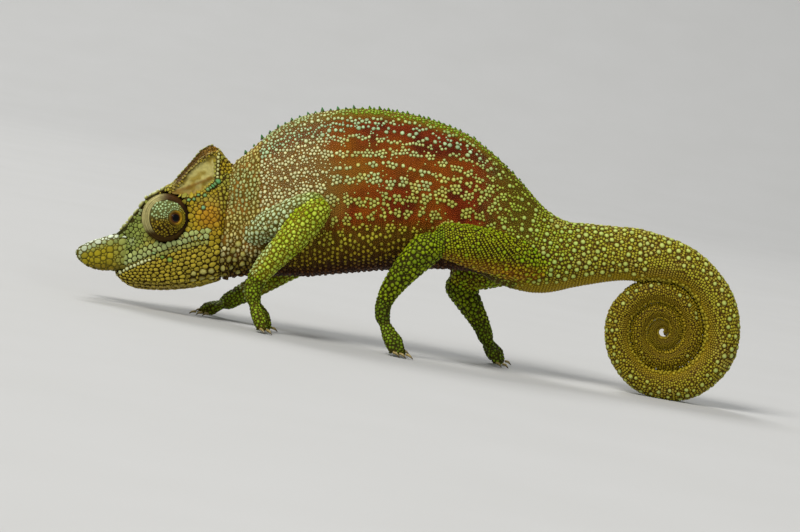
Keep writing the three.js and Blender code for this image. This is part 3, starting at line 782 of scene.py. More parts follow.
@dataclass(frozen=True)
class Markings:
    """Colours of the animal: the skin between the scales and the scales themselves."""

    rust: Shade = (112, 37, 0)
    rust_deep: Shade = (82, 23, 0)
    ochre: Shade = (138, 80, 3)
    mint: Shade = (176, 190, 128)
    cream: Shade = (200, 198, 150)
    ridge_green: Shade = (128, 160, 26)
    hip_green: Shade = (148, 172, 40)
    belly: Shade = (46, 22, 4)
    tail_scale: Shade = (176, 176, 52)
    tail_deep: Shade = (146, 128, 12)
    horn: Shade = (150, 136, 24)
    pale_rim: Shade = (208, 218, 188)

    def ground(self, p: np.ndarray, at: dict[str, np.ndarray]) -> np.ndarray:
        """Colour of the bare skin at each place.

        Args:
            p: body places, one row each.
            at: the regions and measures of those places.

        Returns:
            Linear colours, one row each.
        """
        x, z = p[:, 0], p[:, 2]
        rise = np.cos(at["angle"])
        region = at["region"]
        wide = value_noise(p, 5.0, 1)
        fine = value_noise(p, 1.4, 2)
        colour = plain(self.rust, len(p))
        colour = blend(colour, linear(*self.rust_deep), smooth(0.4, 0.8, fine))
        colour = blend(colour, linear(*self.ochre), self.ochre_share(p, rise, wide))
        shoulder = smooth(-6, -13, x + 10 * (wide - 0.5)) * (0.9 - 0.5 * bump(0.78, 0.12, rise))
        colour = layered(
            colour,
            ((118, 84, 26), shoulder),
            ((112, 92, 12), smooth(0.86, 0.95, rise) * smooth(-22, -8, x)),
            # Darker low on the flank and under the belly: partly the skin's own tone and partly painted
            # shade.
            ((84, 58, 5), smooth(-0.3, -0.55, rise)),
            (self.belly, smooth(-0.62, -0.93, rise)),
            ((84, 62, 4), smooth(11, 19, x)),
        )
        tail = region == Region.TAIL
        inside = smooth(-0.55, -0.9, rise)
        tail_colour = blend(plain((74, 54, 5), len(p)), linear(122, 102, 12), inside)
        tail_colour = blend(tail_colour, linear(52, 38, 4), smooth(15, 26, at["rib"]) * 0.7)
        colour[tail] = tail_colour[tail]
        neck = region == Region.NECK
        neck_colour = plain((104, 80, 16), len(p))
        neck_colour = blend(neck_colour, linear(146, 96, 30), smooth(0.5, 0.8, fine) * 0.65)
        neck_colour = blend(neck_colour, linear(44, 28, 3), smooth(9.5, 5.0, z))
        colour[neck] = neck_colour[neck]
        for name, shade in (
            (Region.UPPER_ARM, (86, 92, 12)),
            (Region.FOREARM, (108, 94, 4)),
            (Region.HAND, (66, 60, 4)),
            (Region.THIGH, (50, 36, 2)),
            (Region.SHANK, (50, 44, 3)),
            (Region.FOOT, (52, 48, 3)),
        ):
            chosen = region == name
            colour[chosen] = linear(*shade)
        shoulder = (region == Region.UPPER_ARM) * smooth(-12.5, -17.5, x) * 0.8
        colour = blend(colour, linear(104, 84, 34), shoulder)
        # Painted light: a golden glow on the thigh's lower part, full on the left side and faint on the
        # right.
        thigh_light = self.thigh_light_mask(p, region) * np.where(p[:, 1] < 0, 1.0, 0.2)
        colour = blend(colour, linear(112, 66, 4), thigh_light)
        head = region == Region.HEAD
        colour[head] = self.head_ground(p)[head]
        return colour

    @staticmethod
    def thigh_light_mask(p: np.ndarray, region: np.ndarray) -> np.ndarray:
        """Mask of the thigh's lower part, where a golden glow of light is painted."""
        return (region == Region.THIGH) * smooth(8.2, 5.4, p[:, 2] + 0.2 * (p[:, 0] - 12))

    @staticmethod
    def ochre_share(p: np.ndarray, rise: np.ndarray, wide: np.ndarray) -> np.ndarray:
        """How far the rust of the flank gives way to ochre."""
        patch = bump(-7.0, 5.5, p[:, 0]) * bump(0.28, 0.3, rise)
        return np.clip(0.9 * patch + 0.42 * smooth(0.5, 0.75, wide) * smooth(16, 6, p[:, 0]), 0, 0.9)

    def head_ground(self, p: np.ndarray) -> np.ndarray:
        """Colour of the bare skin of the head.

        Args:
            p: body places, one row each.

        Returns:
            Linear colours, one row each.
        """
        x, z = p[:, 0], p[:, 2]
        colour = plain((62, 46, 4), len(p))
        colour = blend(colour, linear(48, 48, 8), smooth(-38, -43, x) * smooth(3.5, 6, z))
        colour = blend(colour, linear(104, 70, 8), self.cheek_patch(x, z))
        faint = value_noise(p, 0.8, 31)
        plate = plain((168, 158, 92), len(p))
        plate = blend(plate, linear(138, 120, 46), smooth(0.45, 0.75, faint))
        plate = blend(plate, linear(150, 112, 40), smooth(17.8, 16.6, z - 0.12 * (x + 34)) * 0.6)
        share = self.temple(x, z)[:, None]
        colour = colour * (1 - share) + plate * share
        colour = layered(
            colour,
            # The recessed band between the casque's crests: partly its own brown and partly painted shade.
            ((76, 54, 8), self.brown_band(x, z)),
            ((110, 74, 12), bump(0, 0.28, polyline_distance(x, z, TEMPLE_FOLD)) * 0.8),
            # Painted shade: a dark line in the mouth's crease.
            ((52, 36, 4), bump(0, 0.3, polyline_distance(x, z, MOUTH))),
        )
        # Painted shade: a near-black spot in the nostril's hollow.
        return blend(colour, linear(14, 8, 3), bump(0, 0.42, np.hypot(x - NOSTRIL[0], z - NOSTRIL[1])))

    @staticmethod
    def cheek_patch(x: np.ndarray, z: np.ndarray) -> np.ndarray:
        """Mask of the orange patch behind the eye."""
        return np.clip(1.25 * bump(-29.4, 1.9, x) * bump(13.4, 2.4, z), 0, 1)

    @staticmethod
    def temple(x: np.ndarray, z: np.ndarray) -> np.ndarray:
        """Mask of the smooth pale plate between the casque's edge and the temple's beads.

        Args:
            x: body x of each place.
            z: body z of each place.

        Returns:
            The mask, 0 to 1, for each place.
        """
        crest = np.interp(x, *np.array(LATERAL_CREST).T) - 0.25
        beads = np.interp(x, [-36.0, -33.4, -32.0, -30.6, -28.6], [16.6, 16.3, 16.5, 17.1, 18.8])
        across = smooth(0.0, 0.3, crest - z) * smooth(0.0, 0.3, z - beads)
        return across * smooth(-35.9, -35.2, x) * smooth(-28.6, -28.9, x)

    @staticmethod
    def brown_band(x: np.ndarray, z: np.ndarray) -> np.ndarray:
        """Mask of the brown band between the casque's lateral and middle crests, partly own colour and partly
        painted shade.

        Args:
            x: body x of each place.
            z: body z of each place.

        Returns:
            The mask, 0 to 1, for each place.
        """
        crest = np.interp(x, *np.array(LATERAL_CREST).T)
        rim = np.interp(x, *np.array(CASQUE_RIM).T)
        across = smooth(-0.1, 0.2, z - crest) * smooth(0.1, 0.5, rim - z)
        return across * smooth(-35.4, -34.6, x) * smooth(-28.3, -28.8, x)

    def scale(self, p: np.ndarray, at: dict[str, np.ndarray], rng: np.random.Generator) -> np.ndarray:
        """Colour of a scale rooted at each place.

        Args:
            p: body places, one row each.
            at: the regions and measures of those places.
            rng: the model's random numbers.

        Returns:
            Linear colours, one row each.
        """
        x, z = p[:, 0], p[:, 2]
        rise = np.cos(at["angle"])
        region = at["region"]
        wide = value_noise(p, 6.0, 5)
        fine = value_noise(p, 2.0, 6)
        colour = plain(self.mint, len(p))
        colour = layered(
            colour,
            ((186, 178, 84), smooth(0.4, 0.8, fine) * 0.7),
            ((164, 168, 70), smooth(0.2, -0.15, rise) * 0.8),
            (self.cream, smooth(-6, -14, x) * smooth(-0.3, 0.1, rise)),
            ((170, 176, 72), smooth(2, 12, x) * 0.55),
            ((158, 186, 146), bump(0.8, 0.1, rise) * smooth(20, 10, x)),
            (self.ridge_green, smooth(0.88, 0.95, rise) * smooth(-14, -6, x)),
            ((164, 182, 128), smooth(0.88, 0.95, rise) * smooth(-10, -16, x)),
            # Scales darker low on the flank and under the belly: partly their own tone and partly painted
            # shade.
            ((164, 158, 44), smooth(-0.25, -0.5, rise)),
            ((148, 130, 24), smooth(-0.55, -0.78, rise)),
            ((84, 50, 8), smooth(-0.8, -0.95, rise)),
            (self.hip_green, smooth(11, 19, x) * 0.8),
        )
        tail = region == Region.TAIL
        tail_colour = plain(self.hip_green, len(p))
        tail_colour = layered(
            tail_colour,
            (self.tail_scale, smooth(9.5, 12.5, at["rib"])),
            ((182, 172, 84), smooth(0.55, 0.85, fine) * 0.6),
            (self.tail_deep, smooth(14, 24, at["rib"]) * 0.85),
            ((160, 142, 34), smooth(-0.5, -0.85, rise) * 0.8),
        )
        colour[tail] = tail_colour[tail]
        neck = region == Region.NECK
        neck_colour = plain((178, 168, 96), len(p))
        neck_colour = layered(
            neck_colour,
            ((160, 168, 110), smooth(0.5, 0.8, wide)),
            ((196, 190, 140), smooth(-0.1, -0.6, rise)),
            ((128, 114, 34), smooth(9.0, 5.5, z)),
            ((90, 56, 14), smooth(-0.8, -0.98, rise)),
        )
        colour[neck] = neck_colour[neck]
        pale = plain((176, 198, 138), len(p))
        for name, near, far in (
            (Region.UPPER_ARM, (176, 196, 118), (150, 170, 74)),
            (Region.FOREARM, (172, 192, 62), (148, 170, 20)),
            (Region.HAND, (126, 150, 26), (112, 134, 14)),
            (Region.THIGH, (152, 166, 14), (134, 150, 8)),
            (Region.SHANK, (132, 152, 6), (110, 132, 5)),
            (Region.FOOT, (108, 132, 10), (92, 114, 8)),
        ):
            chosen = region == name
            shade = blend(plain(near, len(p)), linear(*far), smooth(0.35, 0.7, fine))
            colour[chosen] = shade[chosen]
        shoulder = (region == Region.UPPER_ARM) * smooth(-12.5, -17.5, x)
        colour = blend(colour, linear(182, 200, 160), shoulder * 0.85)
        edge = (region == Region.FOREARM) & (at["share"] > 0.45)
        front = smooth(0.3, 1.1, -(x - np.interp(z, [2, 6, 10, 14], [-22.4, -20.6, -17.6, -14.6])))
        colour[edge] = blend(colour, pale, front * 0.8)[edge]
        # Painted light: the thigh's lower scales turn golden, strongly on the left side and faintly on the
        # right.
        under = self.thigh_light_mask(p, region) * np.where(p[:, 1] < 0, 0.85, 0.15)
        colour = blend(colour, linear(196, 146, 20), under)
        head = region == Region.HEAD
        colour[head] = self.head_scale(p)[head]
        return colour * (1 + 0.11 * rng.standard_normal((len(p), 1))).clip(0.7, 1.35)

    @staticmethod
    def by_size(
        tops: np.ndarray, radii: np.ndarray, at: dict[str, np.ndarray], free: np.ndarray
    ) -> np.ndarray:
        """Makes the small scales of tail, hip and thigh duller and yellower, and the large ones paler.

        Args:
            tops: the scales' colours so far.
            radii: the scales' radii.
            at: the regions and measures of their places.
            free: which scales have no tint of their own.

        Returns:
            Linear colours, one row each.
        """
        tail = at["region"] == Region.TAIL
        thigh = at["region"] == Region.THIGH
        hip = (at["region"] == Region.TRUNK) & (at["rib"] > 7.2)
        small = smooth(0.27, 0.17, radii) * free
        large = smooth(0.25, 0.36, radii) * free
        out = blend(tops, linear(150, 124, 14), small * tail * 0.55)
        out = layered(
            out,
            ((136, 128, 8), small * thigh * 0.5),
            ((126, 116, 14), small * hip * 0.5),
            ((178, 202, 122), large * (tail * 0.5 + hip * 0.45)),
        )
        return blend(out, linear(128, 178, 14), large * thigh * 0.6)

    def head_scale(self, p: np.ndarray) -> np.ndarray:
        """Colour of the head's scales.

        Args:
            p: body places, one row each.

        Returns:
            Linear colours, one row each.
        """
        x, z = p[:, 0], p[:, 2]
        fine = value_noise(p, 1.6, 9)
        above = z - np.interp(x, *np.array(MOUTH).T)
        colour = plain((158, 138, 28), len(p))
        colour = layered(
            colour,
            ((146, 154, 66), smooth(0.5, 0.8, fine) * 0.6),
            ((126, 138, 62), smooth(-37.0, -40.5, x) * smooth(1.0, 2.5, above)),
            ((160, 172, 120), smooth(-37.0, -40.5, x) * smooth(0.62, 0.8, fine) * 0.8),
            ((164, 118, 18), self.cheek_patch(x, z) * 0.9),
            ((166, 176, 116), bump(0.8, 0.8, above) * smooth(-31.5, -35, x)),
            ((166, 148, 44), smooth(-0.3, -1.2, above) * 0.9),
            ((170, 150, 70), smooth(3.4, 2.0, z) * smooth(-30, -34, x) * 0.7),
            ((168, 158, 92), self.temple(x, z)),
        )
        # Scales of the casque's recessed band: partly their own brown and partly painted shade.
        band = blend(plain((86, 62, 10), len(p)), linear(132, 98, 24), smooth(-31.5, -29.5, x))
        share = self.brown_band(x, z)[:, None]
        return colour * (1 - share) + band * share


# ---------------------------------------------------------------------------------------------
# Mesh helpers
# ---------------------------------------------------------------------------------------------
def deselect_all() -> None:
    """Leaves object mode with nothing selected."""
    if bpy.context.object is not None and bpy.context.object.mode != "OBJECT":
        bpy.ops.object.mode_set(mode="OBJECT")
    bpy.ops.object.select_all(action="DESELECT")


def make_active(piece: bpy.types.Object) -> None:
    """Selects one object alone and makes it the active one."""
    deselect_all()
    piece.select_set(True)
    bpy.context.view_layer.objects.active = piece


def new_piece(name: str, vertices: np.ndarray, faces: list[np.ndarray]) -> bpy.types.Object:
    """Makes a smooth-shaded piece from arrays.

    Args:
        name: the piece's name.
        vertices: world places in metres.
        faces: arrays of vertex numbers, one array for each number of corners.

    Returns:
        The new object at the origin.
    """
    mesh = bpy.data.meshes.new(name)
    mesh.vertices.add(len(vertices))
    mesh.vertices.foreach_set("co", np.ascontiguousarray(vertices, dtype=np.float32).ravel())
    corners = np.concatenate([f.ravel() for f in faces]).astype(np.int32)
    totals = np.concatenate([np.full(len(f), f.shape[1]) for f in faces])
    starts = np.concatenate([[0], np.cumsum(totals)[:-1]]).astype(np.int32)
    mesh.loops.add(len(corners))
    mesh.loops.foreach_set("vertex_index", corners)
    mesh.polygons.add(len(totals))
    mesh.polygons.foreach_set("loop_start", starts)
    mesh.polygons.foreach_set("use_smooth", np.ones(len(totals), dtype=bool))
    mesh.update(calc_edges=True)
    piece = bpy.data.objects.new(name, mesh)
    bpy.context.collection.objects.link(piece)
    return piece


def copy_node(name: str) -> bpy.types.Object:
    """Makes a merged copy of a CAD node.

    Args:
        name: the node's name.

    Returns:
        The copy, without materials.
    """
    node = bpy.data.objects[name]
    copy = bpy.data.objects.new(f"{name}_copy", node.data.copy())
    bpy.context.collection.objects.link(copy)
    copy.data.materials.clear()
    make_active(copy)
    bpy.ops.object.mode_set(mode="EDIT")
    bpy.ops.mesh.select_all(action="SELECT")
    bpy.ops.mesh.remove_doubles(threshold=1e-6)
    bpy.ops.object.mode_set(mode="OBJECT")
    return copy


def apply_modifier(piece: bpy.types.Object, kind: str, **settings: float | int | str | bool) -> None:
    """Adds a modifier with its settings and applies it.

    Args:
        piece: the piece it changes.
        kind: the modifier's type.
        settings: the modifier's settings by name.
    """
    make_active(piece)
    modifier = piece.modifiers.new(kind.lower(), kind)
    for key, value in settings.items():
        setattr(modifier, key, value)
    bpy.ops.object.modifier_apply(modifier=modifier.name)


def join(pieces: list[bpy.types.Object], name: str) -> bpy.types.Object:
    """Joins pieces into one object.

    Args:
        pieces: the pieces, of which the first takes in the others.
        name: name of the joined piece.

    Returns:
        The joined piece.
    """
    make_active(pieces[0])
    for piece in pieces:
        piece.select_set(True)
    bpy.ops.object.join()
    joined = bpy.context.view_layer.objects.active
    joined.name = name
    joined.data.name = name
    return joined


def grid_faces(rows: int, around: int) -> list[np.ndarray]:
    """Lists the faces of a closed tube of rings, with a cap on each end.

    Args:
        rows: how many rings it has.
        around: corners of a ring.

    Returns:
        The quads, then the two caps.
    """
    ring = np.arange(rows - 1)[:, None] * around
    k = np.arange(around)[None, :]
    nxt = (np.arange(around) + 1) % around
    quads = np.stack([ring + k, ring + nxt, ring + around + nxt, ring + around + k], axis=-1).reshape(-1, 4)
    caps = np.stack([np.arange(around)[::-1], (rows - 1) * around + np.arange(around)])
    return [quads, caps]


def face_outwards(piece: bpy.types.Object) -> None:
    """Turns all faces of a closed piece outwards.

    Args:
        piece: the piece.
    """
    make_active(piece)
    bpy.ops.object.mode_set(mode="EDIT")
    bpy.ops.mesh.select_all(action="SELECT")
    bpy.ops.mesh.normals_make_consistent(inside=False)
    bpy.ops.object.mode_set(mode="OBJECT")


def turned_shell(
    name: str, body: Body, axis: np.ndarray, side: int, polar: np.ndarray, radius: np.ndarray
) -> bpy.types.Object:
    """Makes a closed shell turned about an axis through an eye's centre.

    Args:
        name: the piece's name.
        body: the frame it is placed in.
        axis: the axis.
        side: -1 for the left eye and 1 for the right.
        polar: angle of each ring from the axis.
        radius: distance from the centre for each ring, or for each ring and each place around it.

    Returns:
        The shell, with its faces outwards.
    """
    around = radius.shape[1] if radius.ndim == 2 else 72
    radius = radius if radius.ndim == 2 else np.repeat(radius[:, None], around, axis=1)
    spin = np.linspace(0, 2 * np.pi, around, endpoint=False)
    back, up = body.eye.across(axis, side)
    ring = np.cos(spin)[:, None] * back + np.sin(spin)[:, None] * up
    way = axis * np.cos(polar)[:, None, None] + np.sin(polar)[:, None, None] * ring
    places = (body.eye.centre(side) + way * radius[:, :, None]).reshape(-1, 3)
    piece = new_piece(name, body.plane.to_world(places), grid_faces(len(polar), around))
    face_outwards(piece)
    return piece


def vertex_places(piece: bpy.types.Object) -> np.ndarray:
    """World places of a piece's vertices, in metres.

    Args:
        piece: the piece.

    Returns:
        One row for each vertex.
    """
    flat = np.empty(len(piece.data.vertices) * 3, dtype=np.float32)
    piece.data.vertices.foreach_get("co", flat)
    return flat.reshape(-1, 3).astype(float)


def vertex_normals(piece: bpy.types.Object) -> np.ndarray:
    """Normals of a piece's vertices.

    Args:
        piece: the piece.

    Returns:
        One row for each vertex.
    """
    flat = np.empty(len(piece.data.vertices) * 3, dtype=np.float32)
    piece.data.vertices.foreach_get("normal", flat)
    return flat.reshape(-1, 3).astype(float)


def set_places(piece: bpy.types.Object, places: np.ndarray) -> None:
    """Moves a piece's vertices to world places."""
    piece.data.vertices.foreach_set("co", np.ascontiguousarray(places, dtype=np.float32).ravel())
    piece.data.update()


def paint(piece: bpy.types.Object, colours: np.ndarray) -> None:
    """Stores a linear colour for each vertex.

    Args:
        piece: the piece.
        colours: linear colours, one row for each vertex.
    """
    layer = piece.data.color_attributes.new(TINT, "FLOAT_COLOR", "POINT")
    rgba = np.ones((len(colours), 4), dtype=np.float32)
    rgba[:, :3] = np.clip(colours, 0.0, 1.0)
    layer.data.foreach_set("color", rgba.ravel())


# ---------------------------------------------------------------------------------------------
# Finishes
# ---------------------------------------------------------------------------------------------
def set_inputs(node: bpy.types.Node, values: dict[str, float | tuple[float, ...]]) -> None:
    """Sets a node's unlinked inputs by name."""
    for name, value in values.items():
        node.inputs[name].default_value = value


def mottle_group() -> bpy.types.NodeTree:
    """Shader group: breaks a colour up with two sizes of noise and gives a fine height.

    Returns:
        The group, made once.
    """
    name = "mottle"
    if name in bpy.data.node_groups:
        return bpy.data.node_groups[name]
    group = bpy.data.node_groups.new(name, "ShaderNodeTree")
    face = group.interface
    face.new_socket("Color", in_out="INPUT", socket_type="NodeSocketColor")
    for label, value in (("Size", 900.0), ("Strength", 0.2)):
        socket = face.new_socket(label, in_out="INPUT", socket_type="NodeSocketFloat")
        socket.default_value = value
    face.new_socket("Color", in_out="OUTPUT", socket_type="NodeSocketColor")
    face.new_socket("Height", in_out="OUTPUT", socket_type="NodeSocketFloat")
    nodes, links = group.nodes, group.links
    enter = nodes.new("NodeGroupInput")
    leave = nodes.new("NodeGroupOutput")
    where = nodes.new("ShaderNodeTexCoord")
    noise = nodes.new("ShaderNodeTexNoise")
    set_inputs(noise, {"Detail": 5.0, "Roughness": 0.6})
    links.new(where.outputs["Object"], noise.inputs["Vector"])
    links.new(enter.outputs["Size"], noise.inputs["Scale"])
    spread = nodes.new("ShaderNodeMapRange")
    set_inputs(spread, {"From Min": 0.3, "From Max": 0.7, "To Min": -1.0, "To Max": 1.0})
    links.new(noise.outputs["Fac"], spread.inputs["Value"])
    gain = nodes.new("ShaderNodeMath")
    gain.operation = "MULTIPLY_ADD"
    gain.inputs[2].default_value = 1.0
    links.new(spread.outputs["Result"], gain.inputs[0])
    links.new(enter.outputs["Strength"], gain.inputs[1])
    shade = nodes.new("ShaderNodeVectorMath")
    shade.operation = "SCALE"
    links.new(enter.outputs["Color"], shade.inputs[0])
    links.new(gain.outputs["Value"], shade.inputs["Scale"])
    links.new(shade.outputs["Vector"], leave.inputs["Color"])
    links.new(noise.outputs["Fac"], leave.inputs["Height"])
    return group


@dataclass(frozen=True)
class LivingFinish:
    """Skin, scale or horn whose colour comes from the piece's own tint.

    Size and strength are those of its mottling, and bump_mm is the depth of its fine relief.
    """

    name: str
    roughness: float
    size: float
    strength: float
    bump_mm: float
    specular: float = 0.4
    coat: float = 0.0

    def material(self) -> bpy.types.Material:
        """Builds the finish once.

        Returns:
            The material.
        """
        if self.name in bpy.data.materials:
            return bpy.data.materials[self.name]
        material = bpy.data.materials.new(self.name)
        material.use_nodes = True
        nodes, links = material.node_tree.nodes, material.node_tree.links
        shader = nodes["Principled BSDF"]
        set_inputs(shader, {
            "Roughness": self.roughness,
            "IOR": 1.45,
            "Specular IOR Level": self.specular,
            "Coat Weight": self.coat,
            "Coat Roughness": 0.3,
        })
        tint = nodes.new("ShaderNodeVertexColor")
        tint.layer_name = TINT
        mottle = nodes.new("ShaderNodeGroup")
        mottle.node_tree = mottle_group()
        set_inputs(mottle, {"Size": self.size, "Strength": self.strength})
        links.new(tint.outputs["Color"], mottle.inputs["Color"])
        links.new(mottle.outputs["Color"], shader.inputs["Base Color"])
        relief = nodes.new("ShaderNodeBump")
        set_inputs(relief, {"Distance": self.bump_mm * MM, "Strength": 0.6})
        links.new(mottle.outputs["Height"], relief.inputs["Height"])
        links.new(relief.outputs["Normal"], shader.inputs["Normal"])
        return material


SKIN_FINISH = LivingFinish("bare_skin", 0.66, 1500.0, 0.25, 0.05, specular=0.12)
SCALE_FINISH = LivingFinish("scales", 0.46, 2200.0, 0.18, 0.02, specular=0.16)
HORN_FINISH = LivingFinish("horn_plates", 0.42, 1800.0, 0.16, 0.02, specular=0.16)
CLAW_FINISH = LivingFinish("claw_horn", 0.32, 1600.0, 0.2, 0.02, coat=0.2)
EYE_FINISH = LivingFinish("wet_eye", 0.05, 2600.0, 0.12, 0.0, specular=0.2)


# ---------------------------------------------------------------------------------------------
# The skin
# ---------------------------------------------------------------------------------------------
@dataclass
class Skin:
    """One skin over all the flesh: copies of the solids made whole, smoothed, then folded."""

    body: Body
    markings: Markings
    voxel: float = 0.29
    swell: float = 0.16
    coat: float = 0.17
    tail_from: float = 7.8
    stub_end: float = 11.7
    fine_from: float = 11.0
    fine_full: float = 11.3
    smoothing: int = 6

    def flesh_nodes(self, frame: dict) -> list[str]:
        """Names of the CAD nodes that the skin stands for."""
        return sorted(part["node"] for part in frame["record"]["subparts"] if part["material_slot"] == "skin")

    def tube(
        self,
        name: str,
        start: float,
        stop: float,
        grow: Callable[[np.ndarray, np.ndarray], np.ndarray],
        around: int,
        spacing: float,
    ) -> bpy.types.Object:
        """Makes a closed length of the body's line.

        Args:
            name: the piece's name.
            start: first fractional rib.
            stop: last fractional rib.
            grow: gives the growth over the line's surface for ribs and angles.
            around: corners of a ring.
            spacing: distance between rings in millimetres.

        Returns:
            The new piece.
        """
        line = self.body.line
        first, last = line.arc_of_index(np.array([start, stop]))
        stations = line.index_of_arc(np.linspace(first, last, int((last - first) / spacing)))
        angles = np.linspace(0, 2 * np.pi, around, endpoint=False)
        rib, turn = np.repeat(stations, around), np.tile(angles, len(stations))
        places = line.surface(rib, turn, grow(rib, turn))
        piece = new_piece(name, self.body.plane.to_world(places), grid_faces(len(stations), around))
        face_outwards(piece)
        return piece

    def tail_coat(self, rib: np.ndarray, angle: np.ndarray) -> np.ndarray:
        """Depth of the skin under the tail's solids: least where one turn lies on the next.

        Args:
            rib: fractional ribs.
            angle: angles round the body.

        Returns:
            Depths in millimetres.
        """
        facing = smooth(0.55, 0.9, np.abs(np.cos(angle))) * smooth(12.0, 14.0, rib)
        depth = self.coat * (1 - 0.45 * smooth(12, 24, rib))
        return np.minimum(depth * (1 - 0.75 * facing), 0.3 * self.body.line.at(rib)[4])

    def swollen(self, rib: np.ndarray, _: np.ndarray) -> np.ndarray:
        """Growth of the tail's stub, the same as that of the solids' copies."""
        return np.full(len(rib), self.swell)

    def fine_tail(self) -> bpy.types.Object:
        """Makes the tail from its stub to its tip, with its turns clear of one another.

        Returns:
            The new piece.
        """
        last = len(self.body.line.columns[0]) - 1

        def grow(rib: np.ndarray, angle: np.ndarray) -> np.ndarray:
            """Growth over the line's surface, which shrinks at both ends."""
            root = 0.5 * (1 - smooth(self.fine_from, self.fine_full, rib))
            return 0.03 - self.tail_coat(rib, angle) - (root + 0.12 * smooth(last - 1, last, rib))

        return self.tube("tail_skin", self.fine_from, last, grow, 56, 0.28)

    def build(self, frame: dict) -> bpy.types.Object:
        """Makes the skin.

        Args:
            frame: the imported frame.

        Returns:
            The finished skin.
        """
        pieces = []
        for name in self.flesh_nodes(frame):
            if name.startswith(("tail", "turret")):
                continue
            copy = copy_node(name)
            apply_modifier(copy, "DISPLACE", strength=self.swell * MM, mid_level=0.0)
            pieces.append(copy)
        pieces.append(self.tube("stub", self.tail_from, self.stub_end, self.swollen, 48, 0.3))
        skin = join(pieces, "skin")
        apply_modifier(skin, "REMESH", mode="VOXEL", voxel_size=self.voxel * MM, use_smooth_shade=True)
        apply_modifier(skin, "SMOOTH", factor=0.5, iterations=self.smoothing)
        self.settle(skin)
        self.fold(skin)
        tail = self.fine_tail()
        apply_modifier(skin, "BOOLEAN", operation="UNION", solver="MANIFOLD", object=tail)
        bpy.data.objects.remove(tail)
        turrets = [part for side in (-1, 1) for part in self.turret(side)]
        skin = join([skin, *turrets], "skin")
        skin.data.polygons.foreach_set("use_smooth", np.ones(len(skin.data.polygons), dtype=bool))
        self.dress(skin)
        return skin

    def settle(self, skin: bpy.types.Object) -> None:
        """Draws the swollen skin in to lie under the coat.

        Args:
            skin: the swollen skin.
        """
        places = vertex_places(skin)
        p = self.body.plane.to_body(places)
        rib, angle, depth = self.body.line.locate(p)
        low = places[:, 2] / MM
        coat = self.coat * (0.5 + 0.5 * smooth(1.0, 5.0, low))
        moved = places - vertex_normals(skin) * ((self.swell + coat) * MM)[:, None]
        sunk = 0.35 * smooth(self.fine_full + 0.1, self.stub_end - 0.15, rib)
        under = self.body.line.surface(rib, angle, -self.tail_coat(rib, angle) - sunk)
        exact = self.body.plane.to_world(under)
        in_tail = smooth(9.9, 10.6, rib) * (depth > 0.75) * (depth < 1.4)
        on_ridge = smooth(0.84, 0.93, np.cos(angle)) * smooth(1.5, 2.2, rib) * smooth(9.9, 9.0, rib)
        moved += (exact - moved) * np.maximum(in_tail, on_ridge)[:, None]
        moved[:, 2] = np.maximum(moved[:, 2], FLOOR_GAP)
        set_places(skin, moved)
        self.ease(skin, smooth(-42.9, -43.6, self.body.plane.to_body(moved)[:, 0]))

    def ease(self, skin: bpy.types.Object, share: np.ndarray, times: int = 10) -> None:
        """Smooths the skin where a share is given for its vertices, as in the root of the horns.

        Args:
            skin: the skin.
            share: how far each vertex takes part, from 0 to 1.
            times: how often the smoothing is repeated.
        """
        group = skin.vertex_groups.new(name="eased")
        for index in np.nonzero(share > 0)[0]:
            group.add([int(index)], float(share[index]), "REPLACE")
        apply_modifier(skin, "SMOOTH", factor=0.5, iterations=times, vertex_group=group.name)
        skin.vertex_groups.remove(skin.vertex_groups["eased"])

    def fold(self, skin: bpy.types.Object) -> None:
        """Presses folds, the mouth, the temple and wrinkles into the skin.

        Args:
            skin: the settled skin.
        """
        places = vertex_places(skin)
        p = self.body.plane.to_body(places)
        x, y, z = p.T
        at = self.body.regions(p)
        region, rise = at["region"], np.cos(at["angle"])
        relief = np.zeros(len(p))
        head = region == Region.HEAD
        cheek = head & (np.abs(y) > 0.7)
        relief -= 0.34 * bump(0, 0.24, polyline_distance(x, z, MOUTH)) * head
        relief += 0.12 * bump(0.6, 0.45, z - np.interp(x, *np.array(MOUTH).T)) * head
        relief -= 0.34 * self.markings.temple(x, z) * head
        relief -= 0.3 * self.markings.brown_band(x, z) * head * smooth(0.3, 0.8, np.abs(y))
        for line, height, width in RAISED_LINES:
            relief += height * bump(0, width, polyline_distance(x, z, line)) * cheek
        relief += 0.25 * bump(0, 0.55, polyline_distance(x, z, BROW)) * head
        hollow = np.hypot((x + 42.3) / 1.7, (z - 9.6) / 1.1)
        relief -= 0.3 * bump(0, 0.8, hollow) * cheek
        nostril = np.hypot(x - NOSTRIL[0], z - NOSTRIL[1])
        relief -= 0.75 * bump(0, 0.3, nostril) * cheek
        relief += 0.12 * bump(0.55, 0.2, nostril) * cheek
        row = jaw_row(x, z)
        jaw = head * smooth(-0.5, -0.9, z - np.interp(x, *np.array(MOUTH).T)) * smooth(0.3, 0.8, np.abs(y))
        relief += 0.1 * np.cos(2 * np.pi * row) * jaw * smooth(0.4, 1.2, row) * smooth(7.5, 5.5, row)
        nape = -27.0 + 0.1 * (z - 12)
        relief -= 0.55 * bump(0, 0.45, x - nape) * smooth(1.0, 4.0, z)
        neck = (region == Region.NECK) | ((region == Region.TRUNK) & (x < -19))
        sway = 0.5 * np.sin(z * 0.55) + 0.7 * (value_noise(p, 3.0, 21) - 0.5)
        folds = np.cos(2 * np.pi * (x + sway) / 1.15)
        relief += 0.13 * folds * neck * smooth(-18.5, -22.5, x) * smooth(0.97, 0.85, rise)
        flank = (region == Region.TRUNK) & (rise < 0.1)
        wave = np.cos(2 * np.pi * (x + 0.6 * (value_noise(p, 4.0, 22) - 0.5)) / 0.95)
        relief += 0.07 * wave * flank * smooth(0.0, -0.5, rise)
        leg = (region == Region.THIGH) & (np.abs(y) > 2.5)
        fan = np.arctan2(z - FAN[1], x - FAN[0])
